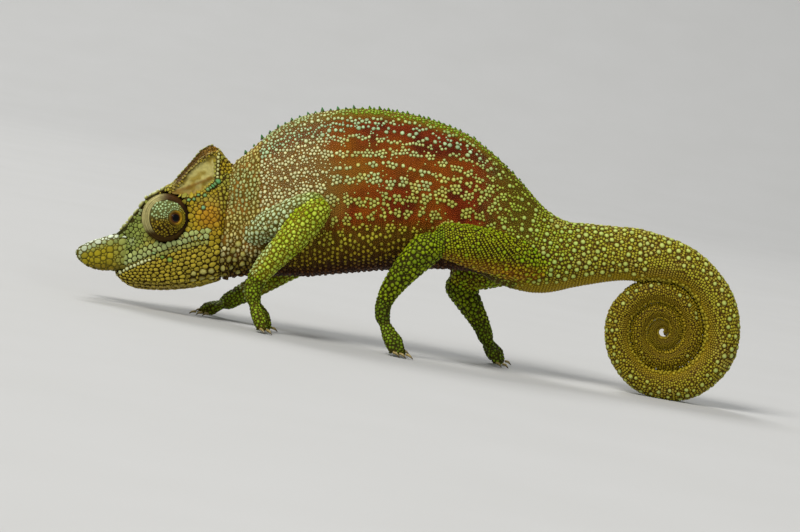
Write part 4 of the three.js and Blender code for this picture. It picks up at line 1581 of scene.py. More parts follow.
        reach = np.hypot(x - FAN[0], z - FAN[1])
        relief += 0.07 * np.cos(fan * FAN_LINES) * leg * smooth(7.5, 9.5, reach)
        relief += 0.05 * (value_noise(p, 1.2, 23) - 0.5) * (region != Region.HEAD)
        moved = places + vertex_normals(skin) * (relief * MM)[:, None]
        moved[:, 2] = np.maximum(moved[:, 2], FLOOR_GAP)
        set_places(skin, moved)

    def turret(self, side: int) -> list[bpy.types.Object]:
        """Makes the lid of one eye: a dome open at the pupil, and the ring folds it turns in.

        Args:
            side: -1 for the left eye and 1 for the right.

        Returns:
            The dome and the folds.
        """
        eye = self.body.eye
        opening = math.asin(eye.opening / eye.dome)
        rim = np.linspace(opening * 0.96, opening + 0.2, 12)
        polar = np.concatenate([rim, np.linspace(opening + 0.23, 2.0, 56)])
        radius = eye.dome + 0.07 * bump(opening + 0.045, 0.05, polar)
        radius -= 0.06 * bump(opening + 0.15, 0.04, polar)
        radius[0], radius[1] = eye.ball - 0.1, eye.dome - 0.12
        dome = turned_shell(f"lid_{side}", self.body, eye.gaze(side), side, polar, radius)

        polar = np.concatenate([np.linspace(0.66, 1.75, 84), [1.95, 2.2]])
        spin = np.linspace(0, 2 * np.pi, 120, endpoint=False)
        rear = 0.5 + 0.5 * np.cos(spin + 0.3)
        along = polar[:, None] - eye.collar_edge(spin)[None, :]
        lid = np.full((len(polar), len(spin)), eye.lid - 0.05)
        lid -= 0.13 * eye.creases(along, spin[None, :])
        lid -= (0.3 - 0.1 * rear) * (1 - smooth(0.0, 0.035, along))
        lid -= 0.6 * (1 - smooth(-0.04, 0.0, along))
        lid -= 0.5 * smooth(0.7, 0.95, along)
        return [dome, turned_shell(f"collar_{side}", self.body, eye.outward(side), side, polar, lid)]

    def dress(self, skin: bpy.types.Object) -> None:
        """Gives the skin its markings and finish, and keeps it over the floor.

        Args:
            skin: the skin with tail and turrets.
        """
        places = vertex_places(skin)
        places[:, 2] = np.maximum(places[:, 2], FLOOR_GAP)
        set_places(skin, places)
        p = self.body.plane.to_body(places)
        at = self.body.regions(p)
        colours = self.markings.ground(p, at)
        for side in (-1, 1):
            offset = p - self.body.eye.centre(side)
            far = np.linalg.norm(offset, axis=1)
            chosen = (far < self.body.eye.lid + 0.05) & (np.sign(p[:, 1]) == side)
            colours[chosen] = self.lid_ground(side, offset)[chosen]
        paint(skin, colours)
        skin.data.materials.clear()
        skin.data.materials.append(SKIN_FINISH.material())

    def lid_ground(self, side: int, offset: np.ndarray) -> np.ndarray:
        """Colour of an eye turret's skin: dark between the beads, and pale folds in front, with painted shade
        at the opening's edge, in the folds' creases and behind the folds.

        Args:
            side: -1 for the left eye and 1 for the right.
            offset: places measured from the eye's centre, one row each.

        Returns:
            Linear colours, one row each.
        """
        eye = self.body.eye
        way = unit(offset)
        polar = np.arccos(np.clip(way @ eye.gaze(side), -1, 1))
        along, spin = eye.fold_measures(way, side)
        fold = along + eye.collar_edge(spin)
        colour = plain((74, 62, 14), len(way))
        colour = blend(colour, linear(96, 100, 50), smooth(-0.1, 0.5, way[:, 2]))
        colour = blend(colour, linear(44, 28, 4), smooth(0.0, -0.5, way[:, 2]))
        behind = smooth(0.36, 0.66, way[:, 0])
        colour = layered(
            colour,
            ((140, 124, 26), smooth(0.62, 0.4, polar) * behind),
            ((92, 66, 12), smooth(0.34, 0.3, polar)),
            ((156, 124, 22), smooth(0.34, 0.3, polar) * behind),
            # Painted shade: a black edge round the opening, and a dark crease where the folds begin.
            ((20, 10, 3), smooth(0.235, 0.225, polar)),
            ((22, 12, 3), smooth(-0.07, -0.01, along)),
        )
        front = smooth(0.3, -0.4, way[:, 0] + 0.6 * np.minimum(way[:, 2], 0))
        pale = blend(plain((70, 46, 9), len(way)), linear(172, 164, 106), front)
        pale = layered(
            pale,
            ((66, 40, 7), smooth(0.1, 0.5, way[:, 2]) * smooth(-0.3, 0.3, way[:, 0])),
            ((70, 50, 9), smooth(-0.35, -0.65, way[:, 2])),
            # Painted shade behind the folds and in the creases between them.
            ((30, 17, 3), smooth(0.6, 0.85, way[:, 0])),
            ((48, 30, 6), 0.8 * eye.creases(along, spin)),
        )
        colour = blend(colour, pale, smooth(-0.012, 0.006, along))
        return blend(colour, linear(30, 18, 4), smooth(1.5, 1.62, fold))


# ---------------------------------------------------------------------------------------------
# Scales
# ---------------------------------------------------------------------------------------------
class Form(Enum):
    """Shapes of scale: corners, then rings of (reach, height), the last height at the middle."""

    TUBERCLE = (8, ((1.09, -0.18), (0.92, 0.5), (0.58, 0.93)), 1.0)
    PLATE = (8, ((1.0, -0.3), (0.95, 0.62), (0.7, 0.95)), 1.0)
    SCUTE = (6, ((1.0, -0.35), (0.9, 0.55), (0.55, 0.95)), 1.0)
    GRANULE = (6, ((1.0, -0.35), (0.76, 0.7)), 1.0)
    GRAIN = (6, ((1.0, 0.05),), 1.0)
    CONE = (6, ((1.0, -0.15), (0.66, 0.3), (0.3, 0.78)), 1.0)


@dataclass(frozen=True)
class Scale:
    """One scale as it would be with no neighbours, in millimetres.

    The radius is half its usual width, and the height is how far it stands over the skin. Aspect is its
    length over its width, and cap how much wider than its radius it may grow to meet its neighbours. Room is
    the share of the radius that must be free, where 0 lays it in any case. The heading is the way its long
    axis runs. Without a tint it takes the markings' colour.
    """

    radius: float
    height: float
    form: Form = Form.TUBERCLE
    aspect: float = 1.0
    cap: float = 1.15
    room: float = 0.8
    heading: tuple[float, float, float] | np.ndarray = (1.0, 0.0, 0.0)
    tint: np.ndarray | None = None


@dataclass(frozen=True)
class Seat:
    """A place on the skin where a scale may lie: where on the body's line, and how far to the next one."""

    spot: np.ndarray
    normal: np.ndarray
    rib: float
    angle: float
    along: float = 0.0
    around: float = 0.0
    heading: np.ndarray | None = None

    @property
    def rise(self) -> float:
        """1 on the ridge of the back and -1 under the belly."""
        return math.cos(self.angle)

    @property
    def upright(self) -> np.ndarray:
        """Direction round the body."""
        return np.cross(self.normal, self.heading)


Rule = Callable[[Seat], Scale | None]


@dataclass
class Bed:
    """The skin's surface, and every scale laid on it so far."""

    skin: bpy.types.Object
    body: Body
    cell: float = 1.3
    cells: dict[tuple[int, int, int], list[int]] = field(default_factory=dict)
    places: list[np.ndarray] = field(default_factory=list)
    normals: list[np.ndarray] = field(default_factory=list)
    headings: list[np.ndarray] = field(default_factory=list)
    scales: list[Scale] = field(default_factory=list)

    def __post_init__(self) -> None:
        """Reads the skin into a search tree, in body millimetres."""
        mesh = self.skin.data
        self.surface = self.body.plane.to_body(vertex_places(self.skin))
        self.corner_normals = self.body.plane.turn_back(vertex_normals(self.skin))
        mesh.calc_loop_triangles()
        tri = np.empty(len(mesh.loop_triangles) * 3, dtype=np.int32)
        mesh.loop_triangles.foreach_get("vertices", tri)
        self.triangles = tri.reshape(-1, 3)
        self.tree = BVHTree.FromPolygons(self.surface.tolist(), self.triangles.tolist(), all_triangles=True)

    def nearest(self, place: np.ndarray) -> tuple[np.ndarray, np.ndarray, float]:
        """Finds the skin nearest to a place.

        Args:
            place: a body place.

        Returns:
            The nearest place on the skin, its smooth normal and how far it is.
        """
        spot, _, face, far = self.tree.find_nearest(Vector(place))
        corners = self.triangles[face]
        away = np.linalg.norm(self.surface[corners] - np.array(spot), axis=1)
        weight = 1.0 / (away + 0.02)
        normal = (self.corner_normals[corners] * weight[:, None]).sum(axis=0)
        return np.array(spot), normal / (np.linalg.norm(normal) + 1e-12), far

    def shoot(self, start: np.ndarray, side: float) -> tuple[np.ndarray, np.ndarray] | None:
        """Meets the skin from one side.

        Args:
            start: a body place beside the animal.
            side: -1 to look from the left and 1 from the right.

        Returns:
            The place met and its normal, or None.
        """
        spot, _, face, _ = self.tree.ray_cast(Vector(start), Vector((0.0, -side, 0.0)), 60.0)
        if spot is None:
            return None
        normal = self.corner_normals[self.triangles[face]].mean(axis=0)
        return np.array(spot), normal / (np.linalg.norm(normal) + 1e-12)

    def free(self, place: np.ndarray, radius: float) -> bool:
        """True if a scale of this radius has room.

        Args:
            place: a body place.
            radius: the radius that must be free.

        Returns:
            False if another scale is in the way.
        """
        middle = [int(math.floor(v / self.cell)) for v in place]
        for step in NEIGHBOURS:
            for other in self.cells.get((middle[0] + step[0], middle[1] + step[1], middle[2] + step[2]), ()):
                gap = self.places[other] - place
                room = radius + self.scales[other].radius
                if gap[0] * gap[0] + gap[1] * gap[1] + gap[2] * gap[2] < room * room:
                    return False
        return True

    def lay(self, place: np.ndarray, normal: np.ndarray, scale: Scale) -> bool:
        """Lays one scale if there is room for it.

        Args:
            place: its root on the skin, in body millimetres.
            normal: the skin's normal there.
            scale: the scale.

        Returns:
            True if it was laid.
        """
        if scale.room > 0 and not self.free(place, scale.radius * scale.room):
            return False
        along = np.asarray(scale.heading, dtype=float)
        along = along - normal * float(along @ normal)
        size = np.linalg.norm(along)
        if size < 1e-3:
            along = np.cross(normal, [0.0, 0.0, 1.0])
            size = np.linalg.norm(along) + 1e-9
        key = tuple(int(math.floor(v / self.cell)) for v in place)
        self.cells.setdefault(key, []).append(len(self.places))
        self.places.append(place)
        self.normals.append(normal)
        self.headings.append(along / size)
        self.scales.append(scale)
        return True

    def measured(self, name: str) -> np.ndarray:
        """One measure of every scale laid."""
        return np.array([getattr(scale, name) for scale in self.scales])

    def untinted(self) -> np.ndarray:
        """Which scales take the markings' colour."""
        return np.array([scale.tint is None for scale in self.scales])


@dataclass(frozen=True)
class Rings:
    """Rings of scales round the body's line, from one fractional rib to another.

    Along and around are the distances between them, and loose is how irregular they are as a share of that.
    Only places whose rise lies between above and below are used. Reach is how far the skin may be from the
    line's own surface, and tapering rings grow closer along the tail.
    """

    start: float
    stop: float
    along: float
    around: float
    loose: float
    above: float = -2.0
    below: float = 2.0
    reach: float = 0.75
    tapering: bool = False


@dataclass(frozen=True)
class RosetteRow:
    """One row of clusters along the flank: where it runs, and how many tubercles of what size it has."""

    angle: float
    spacing: float
    least: int
    most: int
    radius: float
    wide: float
    tall: float


@dataclass(frozen=True)
class SideRow:
    """A row of like scales on both sides of the head, along a line seen from the side."""

    line: Line
    spacing: float
    radius: float
    height: float
    form: Form
    aspect: float
    shade: Shade
    cap: float = 1.1
    room: float = 0.0
    jitter: float = 0.05


FLANK_ROWS: tuple[RosetteRow, ...] = (
    RosetteRow(28.0, 1.25, 1, 3, 0.3, 0.9, 0.4),
    RosetteRow(34.0, 1.5, 1, 3, 0.27, 0.9, 0.4),
    RosetteRow(41.5, 1.5, 1, 2, 0.36, 0.5, 0.3),
    RosetteRow(50.5, 1.85, 4, 7, 0.27, 1.3, 0.5),
    RosetteRow(61.0, 2.0, 5, 9, 0.28, 1.2, 0.75),
    RosetteRow(72.0, 1.75, 2, 5, 0.31, 0.9, 0.55),
    RosetteRow(83.0, 2.1, 6, 10, 0.3, 1.1, 0.95),
    RosetteRow(95.0, 2.1, 7, 10, 0.3, 1.05, 0.95),
    RosetteRow(107.0, 2.0, 6, 10, 0.29, 1.05, 0.95),
    RosetteRow(118.0, 1.8, 4, 7, 0.27, 0.95, 0.8),
)
ALONE = 9.0
CREST_ROWS: tuple[SideRow, ...] = (
    SideRow(LATERAL_CREST, 0.5, 0.22, 0.1, Form.PLATE, 1.6, (140, 124, 52), 1.4),
    SideRow(TEMPLE_BEADS, 0.8, 0.32, 0.18, Form.TUBERCLE, 1.2, (112, 150, 92), jitter=0.12),
)
CHEEK_ROWS: tuple[SideRow, ...] = tuple(
    SideRow(
        [(x - 0.1, z), (x + 0.1, z)], ALONE, size, 0.14 + 0.2 * size, Form.TUBERCLE, 1.2, shade, jitter=0.0
    )
    for x, z, size, shade in CHEEK_SPOTS
)
NAPE_ROW = SideRow(NAPE_BEADS, 0.6, 0.28, 0.18, Form.TUBERCLE, 1.6, (184, 184, 122), jitter=0.09)
GULAR_ROWS: tuple[SideRow, ...] = tuple(
    SideRow(
        [(x - 0.3, z - 0.16), (x + 0.3, z + 0.16)],
        ALONE, 0.52, 0.2, Form.TUBERCLE, 1.5, (172, 166, 92), 1.15, jitter=0.07,
    )
    for x, z in GULAR_PLATES
)
UPPER_LIP = [(x, z + 0.52) for x, z in MOUTH[1:]]
LOWER_LIP = [(x + 0.15, z - 0.42) for x, z in MOUTH[1:4]]
REAR_LIP = [(x, z - 0.42) for x, z in MOUTH[3:]]
OVER_LIP = [(x, z + 1.32) for x, z in MOUTH[1:]]
LIP_ROWS: tuple[SideRow, ...] = (
    SideRow(UPPER_LIP, 0.84, 0.4, 0.09, Form.PLATE, 1.3, (168, 180, 112), 1.9, jitter=0.02),
    SideRow(LOWER_LIP, 0.64, 0.33, 0.2, Form.TUBERCLE, 1.0, (190, 196, 146), jitter=0.03),
    SideRow(REAR_LIP, 0.72, 0.34, 0.14, Form.PLATE, 1.1, (142, 142, 66), 1.5, jitter=0.04),
    SideRow(OVER_LIP, 0.86, 0.4, 0.12, Form.PLATE, 1.2, (158, 168, 96), 1.9, room=0.6),
)
HEAD_ROWS = (*CREST_ROWS, *CHEEK_ROWS, NAPE_ROW, *GULAR_ROWS, *LIP_ROWS)


def tail_size(rib: float) -> float:
    """Size of the tail's scales at a rib, as a share of those at its root."""
    return float(np.interp(rib, [8.9, 12, 15, 20, 26, 32, 37], [1.0, 1.0, 0.95, 0.8, 0.62, 0.48, 0.36]))


@dataclass
class Lattices:
    """Lays the scales of each region in rows, rings, rosettes and fillings."""

    bed: Bed
    rng: np.random.Generator

    def rings(self, plan: Rings, rule: Rule) -> int:
        """Lays rings of scales round the body's line.

        Args:
            plan: where the rings run and how close they are.
            rule: gives the scale for a place.

        Returns:
            How many were laid.
        """
        line = self.bed.body.line
        arc, last = line.arc_of_index(np.array([plan.start, plan.stop]))
        row = laid = 0
        fine = np.linspace(0, 2 * np.pi, 121)
        while arc < last:
            rib = line.index_of_arc(np.array([arc]))[0]
            share = tail_size(rib) if plan.tapering else 1.0
            along, around = plan.along * share, plan.around * share
            outline = line.surface(np.full(len(fine), rib), fine)
            length = np.concatenate([[0], np.cumsum(np.linalg.norm(np.diff(outline, axis=0), axis=1))])
            count = max(5, int(round(length[-1] / around)))
            offsets = (np.arange(count) + 0.5 * (row % 2)) / count * length[-1]
            offsets = offsets + self.rng.normal(0, plan.loose * around, count)
            angles = np.interp(offsets % length[-1], length, fine)
            drift = arc + self.rng.normal(0, plan.loose * along, count)
            ribs = line.index_of_arc(np.clip(drift, 0, line.arc[-1]))
            for place, at_rib, angle in zip(line.surface(ribs, angles), ribs, angles):
                if plan.above < math.cos(angle) < plan.below:
                    spot, normal, far = self.bed.nearest(place)
                    if far <= plan.reach:
                        seat = Seat(spot, normal, at_rib, angle, along, around, line.ahead(at_rib))
                        laid += self.lay(seat, rule)
            arc += along
            row += 1
        return laid

    def lay(self, seat: Seat, rule: Rule) -> bool:
        """Lays the scale that a rule gives for a seat, if it gives one and there is room."""
        scale = rule(seat)
        return scale is not None and self.bed.lay(seat.spot, seat.normal, scale)

    def tail(self) -> int:
        """Round tubercles over the tail's back, then rings of small scales all round it.

        Returns:
            How many scales were laid.
        """
        line = self.bed.body.line
        first_turn = len(line.listed) + line.ribs_per_turn

        def pressed(seat: Seat) -> bool:
            """True where one turn of the coil lies on the next."""
            inward, outward = seat.rise < -0.8, seat.rise > 0.8
            return (outward and seat.rib > first_turn - 1.5) or (inward and seat.rib > first_turn - 9)

        def large(seat: Seat) -> Scale | None:
            """A round tubercle."""
            radius = 0.43 * tail_size(seat.rib) * (0.72 + 0.4 * self.rng.random())
            radius *= 0.8 if seat.rise < 0.3 else 1.0
            if pressed(seat):
                return None
            return Scale(radius, 0.08 + 0.3 * radius, cap=1.05, room=0.95, heading=seat.heading)

        def small(seat: Seat) -> Scale | None:
            """A small scale, finer inside the coil, or a flat plate between two turns."""
            if pressed(seat):
                return Scale(0.62 * seat.around, 0.26, Form.PLATE, cap=1.5, room=0.7, heading=seat.heading)
            inner = smooth(-0.2, -0.75, seat.rise)
            form = Form.GRANULE if inner > 0.2 else Form.SCUTE
            radius = 0.5 * seat.around * (1.0 - 0.1 * inner)
            return Scale(radius, 0.12 - 0.05 * inner, form, 1.1 + 0.2 * inner, 1.3, 0.84, seat.heading)

        laid = self.rings(Rings(10.5, 31.0, 1.4, 1.3, 0.13, above=0.0, tapering=True), large)
        last = len(line.columns[0]) - 1.05
        return laid + self.rings(Rings(8.8, last, 0.45, 0.42, 0.05, tapering=True), small)

    def neck(self) -> int:
        """Upright columns of long scales between head and shoulder.

        Returns:
            How many scales were laid.
        """

        def long_scale(seat: Seat) -> Scale:
            """A long scale that leans a little in its column."""
            long = 1.2 + 1.3 * self.rng.random()
            way = seat.upright + self.rng.normal(0, 0.22) * seat.heading
            radius = 0.48 * seat.along * math.sqrt(long)
            return Scale(radius, 0.14, aspect=long, cap=1.08, room=0.55, heading=way)

        return self.rings(Rings(0.15, 2.0, 0.52, 0.72, 0.17, above=-0.97, reach=1.0), long_scale)

    def rosettes(self) -> int:
        """Clusters of round tubercles in rows along the flank.

        Returns:
            How many scales were laid.
        """
        line, laid = self.bed.body.line, 0
        first, last = line.arc_of_index(np.array([1.6, 8.4]))
        for side in (-1, 1):
            for number, row in enumerate(FLANK_ROWS):
                arc = first + self.rng.random() * row.spacing
                while arc < last:
                    rib = line.index_of_arc(np.array([arc]))[0]
                    sway = 2.2 * math.sin(0.33 * arc + 1.7 * number) + self.rng.normal(0, 1.2)
                    laid += self.rosette(row, side, rib, math.radians(row.angle + sway))
                    arc += row.spacing * (0.82 + 0.36 * self.rng.random())
        return laid

    def rosette(self, row: RosetteRow, side: int, rib: float, angle: float) -> int:
        """Drops the tubercles of one cluster one by one where there is room.

        Args:
            row: the row it belongs to.
            side: -1 for the left flank and 1 for the right.
            rib: fractional rib of its middle.
            angle: angle of its middle from the back's ridge.

        Returns:
            How many were laid.
        """
        line = self.bed.body.line
        centre = line.surface(np.array([rib]), np.array([angle * side]))[0]
        _, normal, far = self.bed.nearest(centre)
        if far > ROSETTE_REACH:
            return 0
        along = line.ahead(rib)
        along = unit(along - normal * float(along @ normal))
        across = np.cross(normal, along)
        size = row.radius * (1.0 - 0.15 * smooth(10, 22, centre[0]))
        want = int(self.rng.integers(row.least, row.most + 1))
        turn, pitch = 2 * math.pi * self.rng.random(), 2.02 * size
        shift = self.rng.normal(0, 0.3 * pitch, 2)
        spots = []
        for i in range(-4, 5):
            for j in range(-4, 5):
                u, v = pitch * (i + 0.5 * (j % 2)), pitch * 0.87 * j
                a = u * math.cos(turn) - v * math.sin(turn) + shift[0] + self.rng.normal(0, 0.1 * size)
                b = u * math.sin(turn) + v * math.cos(turn) + shift[1] + self.rng.normal(0, 0.1 * size)
                spots.append((math.hypot(a / row.wide, b / row.tall) + 0.12 * self.rng.random(), a, b))
        laid = 0
        for _, a, b in sorted(spots)[:want]:
            spot, normal, far = self.bed.nearest(centre + along * a + across * b)
            if far <= ROSETTE_REACH:
                radius = size * (0.8 + 0.3 * self.rng.random())
                laid += self.bed.lay(spot, normal, Scale(
                    radius, 0.11 + 0.3 * radius, aspect=1.08, cap=1.16, room=0.82, heading=along
                ))
        return laid

    def flank_columns(self) -> int:
        """Upright columns of scales low on the flank and under the belly.

        Returns:
            How many scales were laid.
        """

        def column_scale(seat: Seat) -> Scale | None:
            """A scale of a column, with a gap now and then."""
            low = smooth(-0.55, -0.9, seat.rise)
            if self.rng.random() < 0.12:
                return None
            radius, aspect = 0.5 * seat.along * (0.96 - 0.14 * low), 1.15 + 0.4 * self.rng.random()
            return Scale(radius, 0.15 - 0.05 * low, aspect=aspect, cap=1.04, room=0.9, heading=seat.upright)

        return self.rings(Rings(1.7, 9.2, 0.68, 0.84, 0.12, below=LOW_FLANK), column_scale)

    def hip(self) -> int:
        """Single round tubercles over hip and tail root.

        Returns:
            How many scales were laid.
        """

        def tubercle(seat: Seat) -> Scale | None:
            """A round tubercle behind the last clusters."""
            if seat.spot[0] < 11.5 + 1.5 * self.rng.random():
                return None
            radius = 0.38 * (0.75 + 0.35 * self.rng.random())
            return Scale(radius, 0.11 + 0.25 * radius, aspect=1.05, cap=1.05, room=1.0, heading=seat.heading)

        return self.rings(Rings(7.0, 13.2, 1.3, 1.25, 0.16, above=-0.75), tubercle)

    def flank_grains(self) -> int:
        """Fine grains in upright columns over all of the trunk that is still bare."""
        return self.rings(
            Rings(1.7, 9.4, 0.235, 0.29, 0.13),
            lambda seat: Scale(0.14, 0.06, Form.GRAIN, 1.4, 1.35, 0.6, seat.upright),
        )

    def ridge(self) -> int:
        """The small cones along the back, and close scales beside them.

        Returns:
            How many scales were laid.
        """
        line, laid = self.bed.body.line, 0
        x, number = -24.0, 0
        while x < 18.0:
            rib = float(np.interp(x, line.samples[:1000, 0], line.sample_index[:1000]))
            top = line.surface(np.array([rib]), np.array([0.0]))[0]
            share = (x + 24.4) / 43.4
            tall = (0.5 if number % 2 == 0 else 0.2) * (1.0 - 0.55 * share) * (0.7 + 0.6 * self.rng.random())
            green = linear(62, 116, 62) if share < 0.4 else linear(84, 128, 18)
            place = top + np.array([0.0, self.rng.normal(0, 0.12), -0.15])
            lean = unit(np.array([self.rng.normal(-0.15, 0.12), self.rng.normal(0, 0.12), 1.0]))
            tint = green * (0.7 + 0.5 * self.rng.random())
            cone = Scale(0.3 + 0.2 * tall, 0.22 + tall, Form.CONE, cap=0.95, room=0.0, tint=tint)
            laid += self.bed.lay(place, lean, cone)
            x += (1.0 if share < 0.45 else 0.62) + 0.35 * self.rng.random()
            number += 1
        return laid + self.rings(
            Rings(1.9, 9.2, 0.5, 0.5, 0.16, above=0.935),
            lambda seat: Scale(0.2 + 0.08 * self.rng.random(), 0.13, room=0.85, heading=seat.heading),
        )

    def limbs(self) -> int:
        """Rings of scales round each limb's two lengths, and the fans over the thighs.

        Returns:
            How many scales were laid.
        """
        laid = 0
        for limb in self.bed.body.limbs:
            laid += self.thigh(limb) if limb.leg else 0
            laid += self.limb_rings(limb, True, 0.62 if limb.leg else 0.72)
            laid += self.limb_rings(limb, False, 0.72)
        return laid

    def limb_rings(self, limb: Limb, upper: bool, spacing: float) -> int:
        """Rings of scales round one length of a limb, closer towards the wrist.

        Args:
            limb: the limb.
            upper: True for its upper length.
            spacing: distance between scales.

        Returns:
            How many were laid.
        """
        laid = 0
        length = float(np.linalg.norm(np.diff(limb.points(upper)[:, :3], axis=0), axis=1).sum())
        wrist = 1.0 if upper else limb.wrist_share + 0.02
        rows = int(length * wrist / (spacing * 0.9))
        for row in range(rows + 1):
            t = np.array([wrist * row / rows])
            shrink = 1.0 - 0.35 * smooth(0.6, 1.0, t / wrist)[0] * (0 if upper else 1)
            centre, radius = limb.at(upper, t)
            ahead, out, side = limb.ring_frame(upper, t)
            count = max(7, int(2 * math.pi * radius[0] / (spacing * shrink)))
            for k in range(count):
                turn = 2 * math.pi * (k + 0.5 * (row % 2) + self.rng.normal(0, 0.12)) / count
                away = out[0] * math.cos(turn) + side[0] * math.sin(turn)
                place = centre[0] + away * (radius[0] - 0.15) + ahead[0] * self.rng.normal(0, 0.07)
                spot, normal, far = self.bed.nearest(place)
                if far <= 0.55 and float(normal @ away) >= 0.35:
                    size = 0.5 * spacing * shrink * (0.8 + 0.34 * self.rng.random())
                    scale = Scale(size, 0.08 + 0.14 * spacing, cap=1.1, room=0.86, heading=ahead[0])
                    laid += self.bed.lay(spot, normal, scale)
        return laid

    def thigh(self, limb: Limb) -> int:
        """Lines of scales that fan out over the thigh from the hip, with a few larger ones among them.

        Args:
            limb: the hind leg.

        Returns:
            How many scales were laid.
        """
        laid = 0
        for _ in range(700):
            reach, angle = 7.0 + 11.0 * self.rng.random(), -math.pi * self.rng.random()
            laid += self.fan_scale(limb, reach, angle, 0.29, 1.0, 2.1)
        for column in range(-FAN_LINES * 3 // 4, 0):
            angle = 2 * math.pi * column / FAN_LINES
            for step in range(29):
                reach = 7.2 + 0.37 * step + 0.18 * (column % 2) + self.rng.normal(0, 0.03)
                laid += self.fan_scale(limb, reach, angle, 0.16 + 0.05 * self.rng.random(), 1.2, 0.8)
        return laid

    def fan_scale(
        self, limb: Limb, reach: float, angle: float, radius: float, aspect: float, room: float
    ) -> bool:
        """Lays one scale of the thigh's fan, if that place is on the thigh.

        Args:
            limb: the hind leg.
            reach: distance from the fan's middle.
            angle: angle round the fan's middle.
            radius: the scale's radius.
            aspect: its length over its width.
            room: share of the radius that must be free.

        Returns:
            True if it was laid.
        """
        x, z = FAN[0] + reach * math.cos(angle), FAN[1] + reach * math.sin(angle)
        hit = self.bed.shoot(np.array([x, limb.side * BESIDE, z]), limb.side)
        if hit is None or hit[1][1] * limb.side < 0.3:
            return False
        centres, radii = limb.at(True, np.linspace(0, 1, 9))
        if float((np.linalg.norm(centres - hit[0], axis=1) - radii).min()) > 0.35:
            return False
        heading = np.array([math.cos(angle), 0.0, math.sin(angle)])
        scale = Scale(radius, 0.07 + 0.3 * radius, aspect=aspect, room=room, heading=heading)
        return self.bed.lay(*hit, scale)

    def side_row(self, row: SideRow) -> int:
        """Lays one row of the head's scales on both sides.

        Args:
            row: the row.

        Returns:
            How many scales were laid.
        """
        walk, laid = Walk(row.line), 0
        for distance in np.arange(min(row.spacing * 0.3, walk.length / 2), walk.length, row.spacing):
            x, z = walk.at(distance)
            for side in (-1, 1):
                wobble = self.rng.normal(0, row.jitter, 2)
                hit = self.bed.shoot(np.array([x + wobble[0], side * BESIDE, z + wobble[1]]), side)
                if hit is None or abs(float(hit[1][1])) < 0.25 or self.bed.body.eye.covers(hit[0], side):
                    continue
                tint = linear(*row.shade) * (0.85 + 0.26 * self.rng.random())
                size = row.radius * (0.86 + 0.28 * self.rng.random())
                laid += self.bed.lay(*hit, Scale(
                    size, row.height, row.form, row.aspect, row.cap, row.room, walk.way(distance), tint
                ))
        return laid

    def head(self) -> int:
        """Crests, lips, temple and jaw rows of the head.

        Returns:
            How many scales were laid.
        """
        laid = self.crest_beads(BROW, 0.72, 0.46, 0.4) + self.crest_beads(CASQUE_RIM, 0.4, 0.33, 0.2)
        laid += sum(self.side_row(row) for row in HEAD_ROWS)
        for row in range(1, 13):
            curve = []
            for x in np.arange(-44.6, -27.0, 0.5):
                z = float(np.interp(x, *np.array(JAW_KEEL).T) + row * jaw_pitch(x))
                if z < float(np.interp(x, *np.array(MOUTH).T)) - 0.95:
                    curve.append((x, z))
            if len(curve) > 2:
                laid += self.jaw_plates(curve, 0.5 + 0.5 * float(smooth(7.0, 4.0, row)))
        return laid

    def jaw_plates(self, curve: Line, long: float) -> int:
        """Lays long plates end to end along one row of the jaw.

        Args:
            curve: where the row runs, seen from the side.
            long: 1 for the longest plates, which lie low on the jaw.

        Returns:
            How many were laid.
        """
        walk = Walk(curve)
        laid, distance = 0, 0.2 * self.rng.random()
        while distance < walk.length:
            x, z = walk.at(distance)
            wide = 0.43 * float(jaw_pitch(x))
            aspect = (1.3 + 0.9 * long) * (0.8 + 0.4 * self.rng.random())
            plate = Scale(wide * math.sqrt(aspect), 0.15, Form.PLATE, aspect, 1.04, 0.55, walk.way(distance))
            for side in (-1, 1):
                hit = self.bed.shoot(np.array([x, side * BESIDE, z + self.rng.normal(0, 0.02)]), side)
                if hit is not None:
                    laid += self.bed.lay(*hit, plate)
            distance += 2 * wide * aspect + 0.03
        return laid

    def crest_beads(self, line: Line, spacing: float, radius: float, height: float) -> int:
        """Raised beads along the brow or the casque's edge, which run together into a rim.

        Args:
            line: where the edge runs, seen from the side.
            spacing: distance between beads.
            radius: their middle radius.
            height: their middle height.

        Returns:
            How many were laid.
        """
        walk, laid = Walk(line), 0
        for distance in np.arange(0.0, walk.length, spacing):
            x, z = walk.at(distance)
            ridge = float(np.interp(x, *CREST_HALF_WIDTH))
            for side in ((-1, 1) if ridge > 0 else (1,)):
                spot, normal, far = self.bed.nearest(np.array([x, side * ridge, z + 0.1]))
                if far > 0.7 or x < HORN_ROOT:
                    continue
                size = radius * (0.7 + 0.65 * self.rng.random())
                tint = linear(192, 202, 158) * (0.82 + 0.28 * self.rng.random())
                tall = height * (0.7 + 0.6 * self.rng.random())
                bead = Scale(size, tall, aspect=1.25, room=0.3, heading=(0.5, 0.0, 0.8), tint=tint)
                laid += self.bed.lay(spot, normal, bead)
        return laid

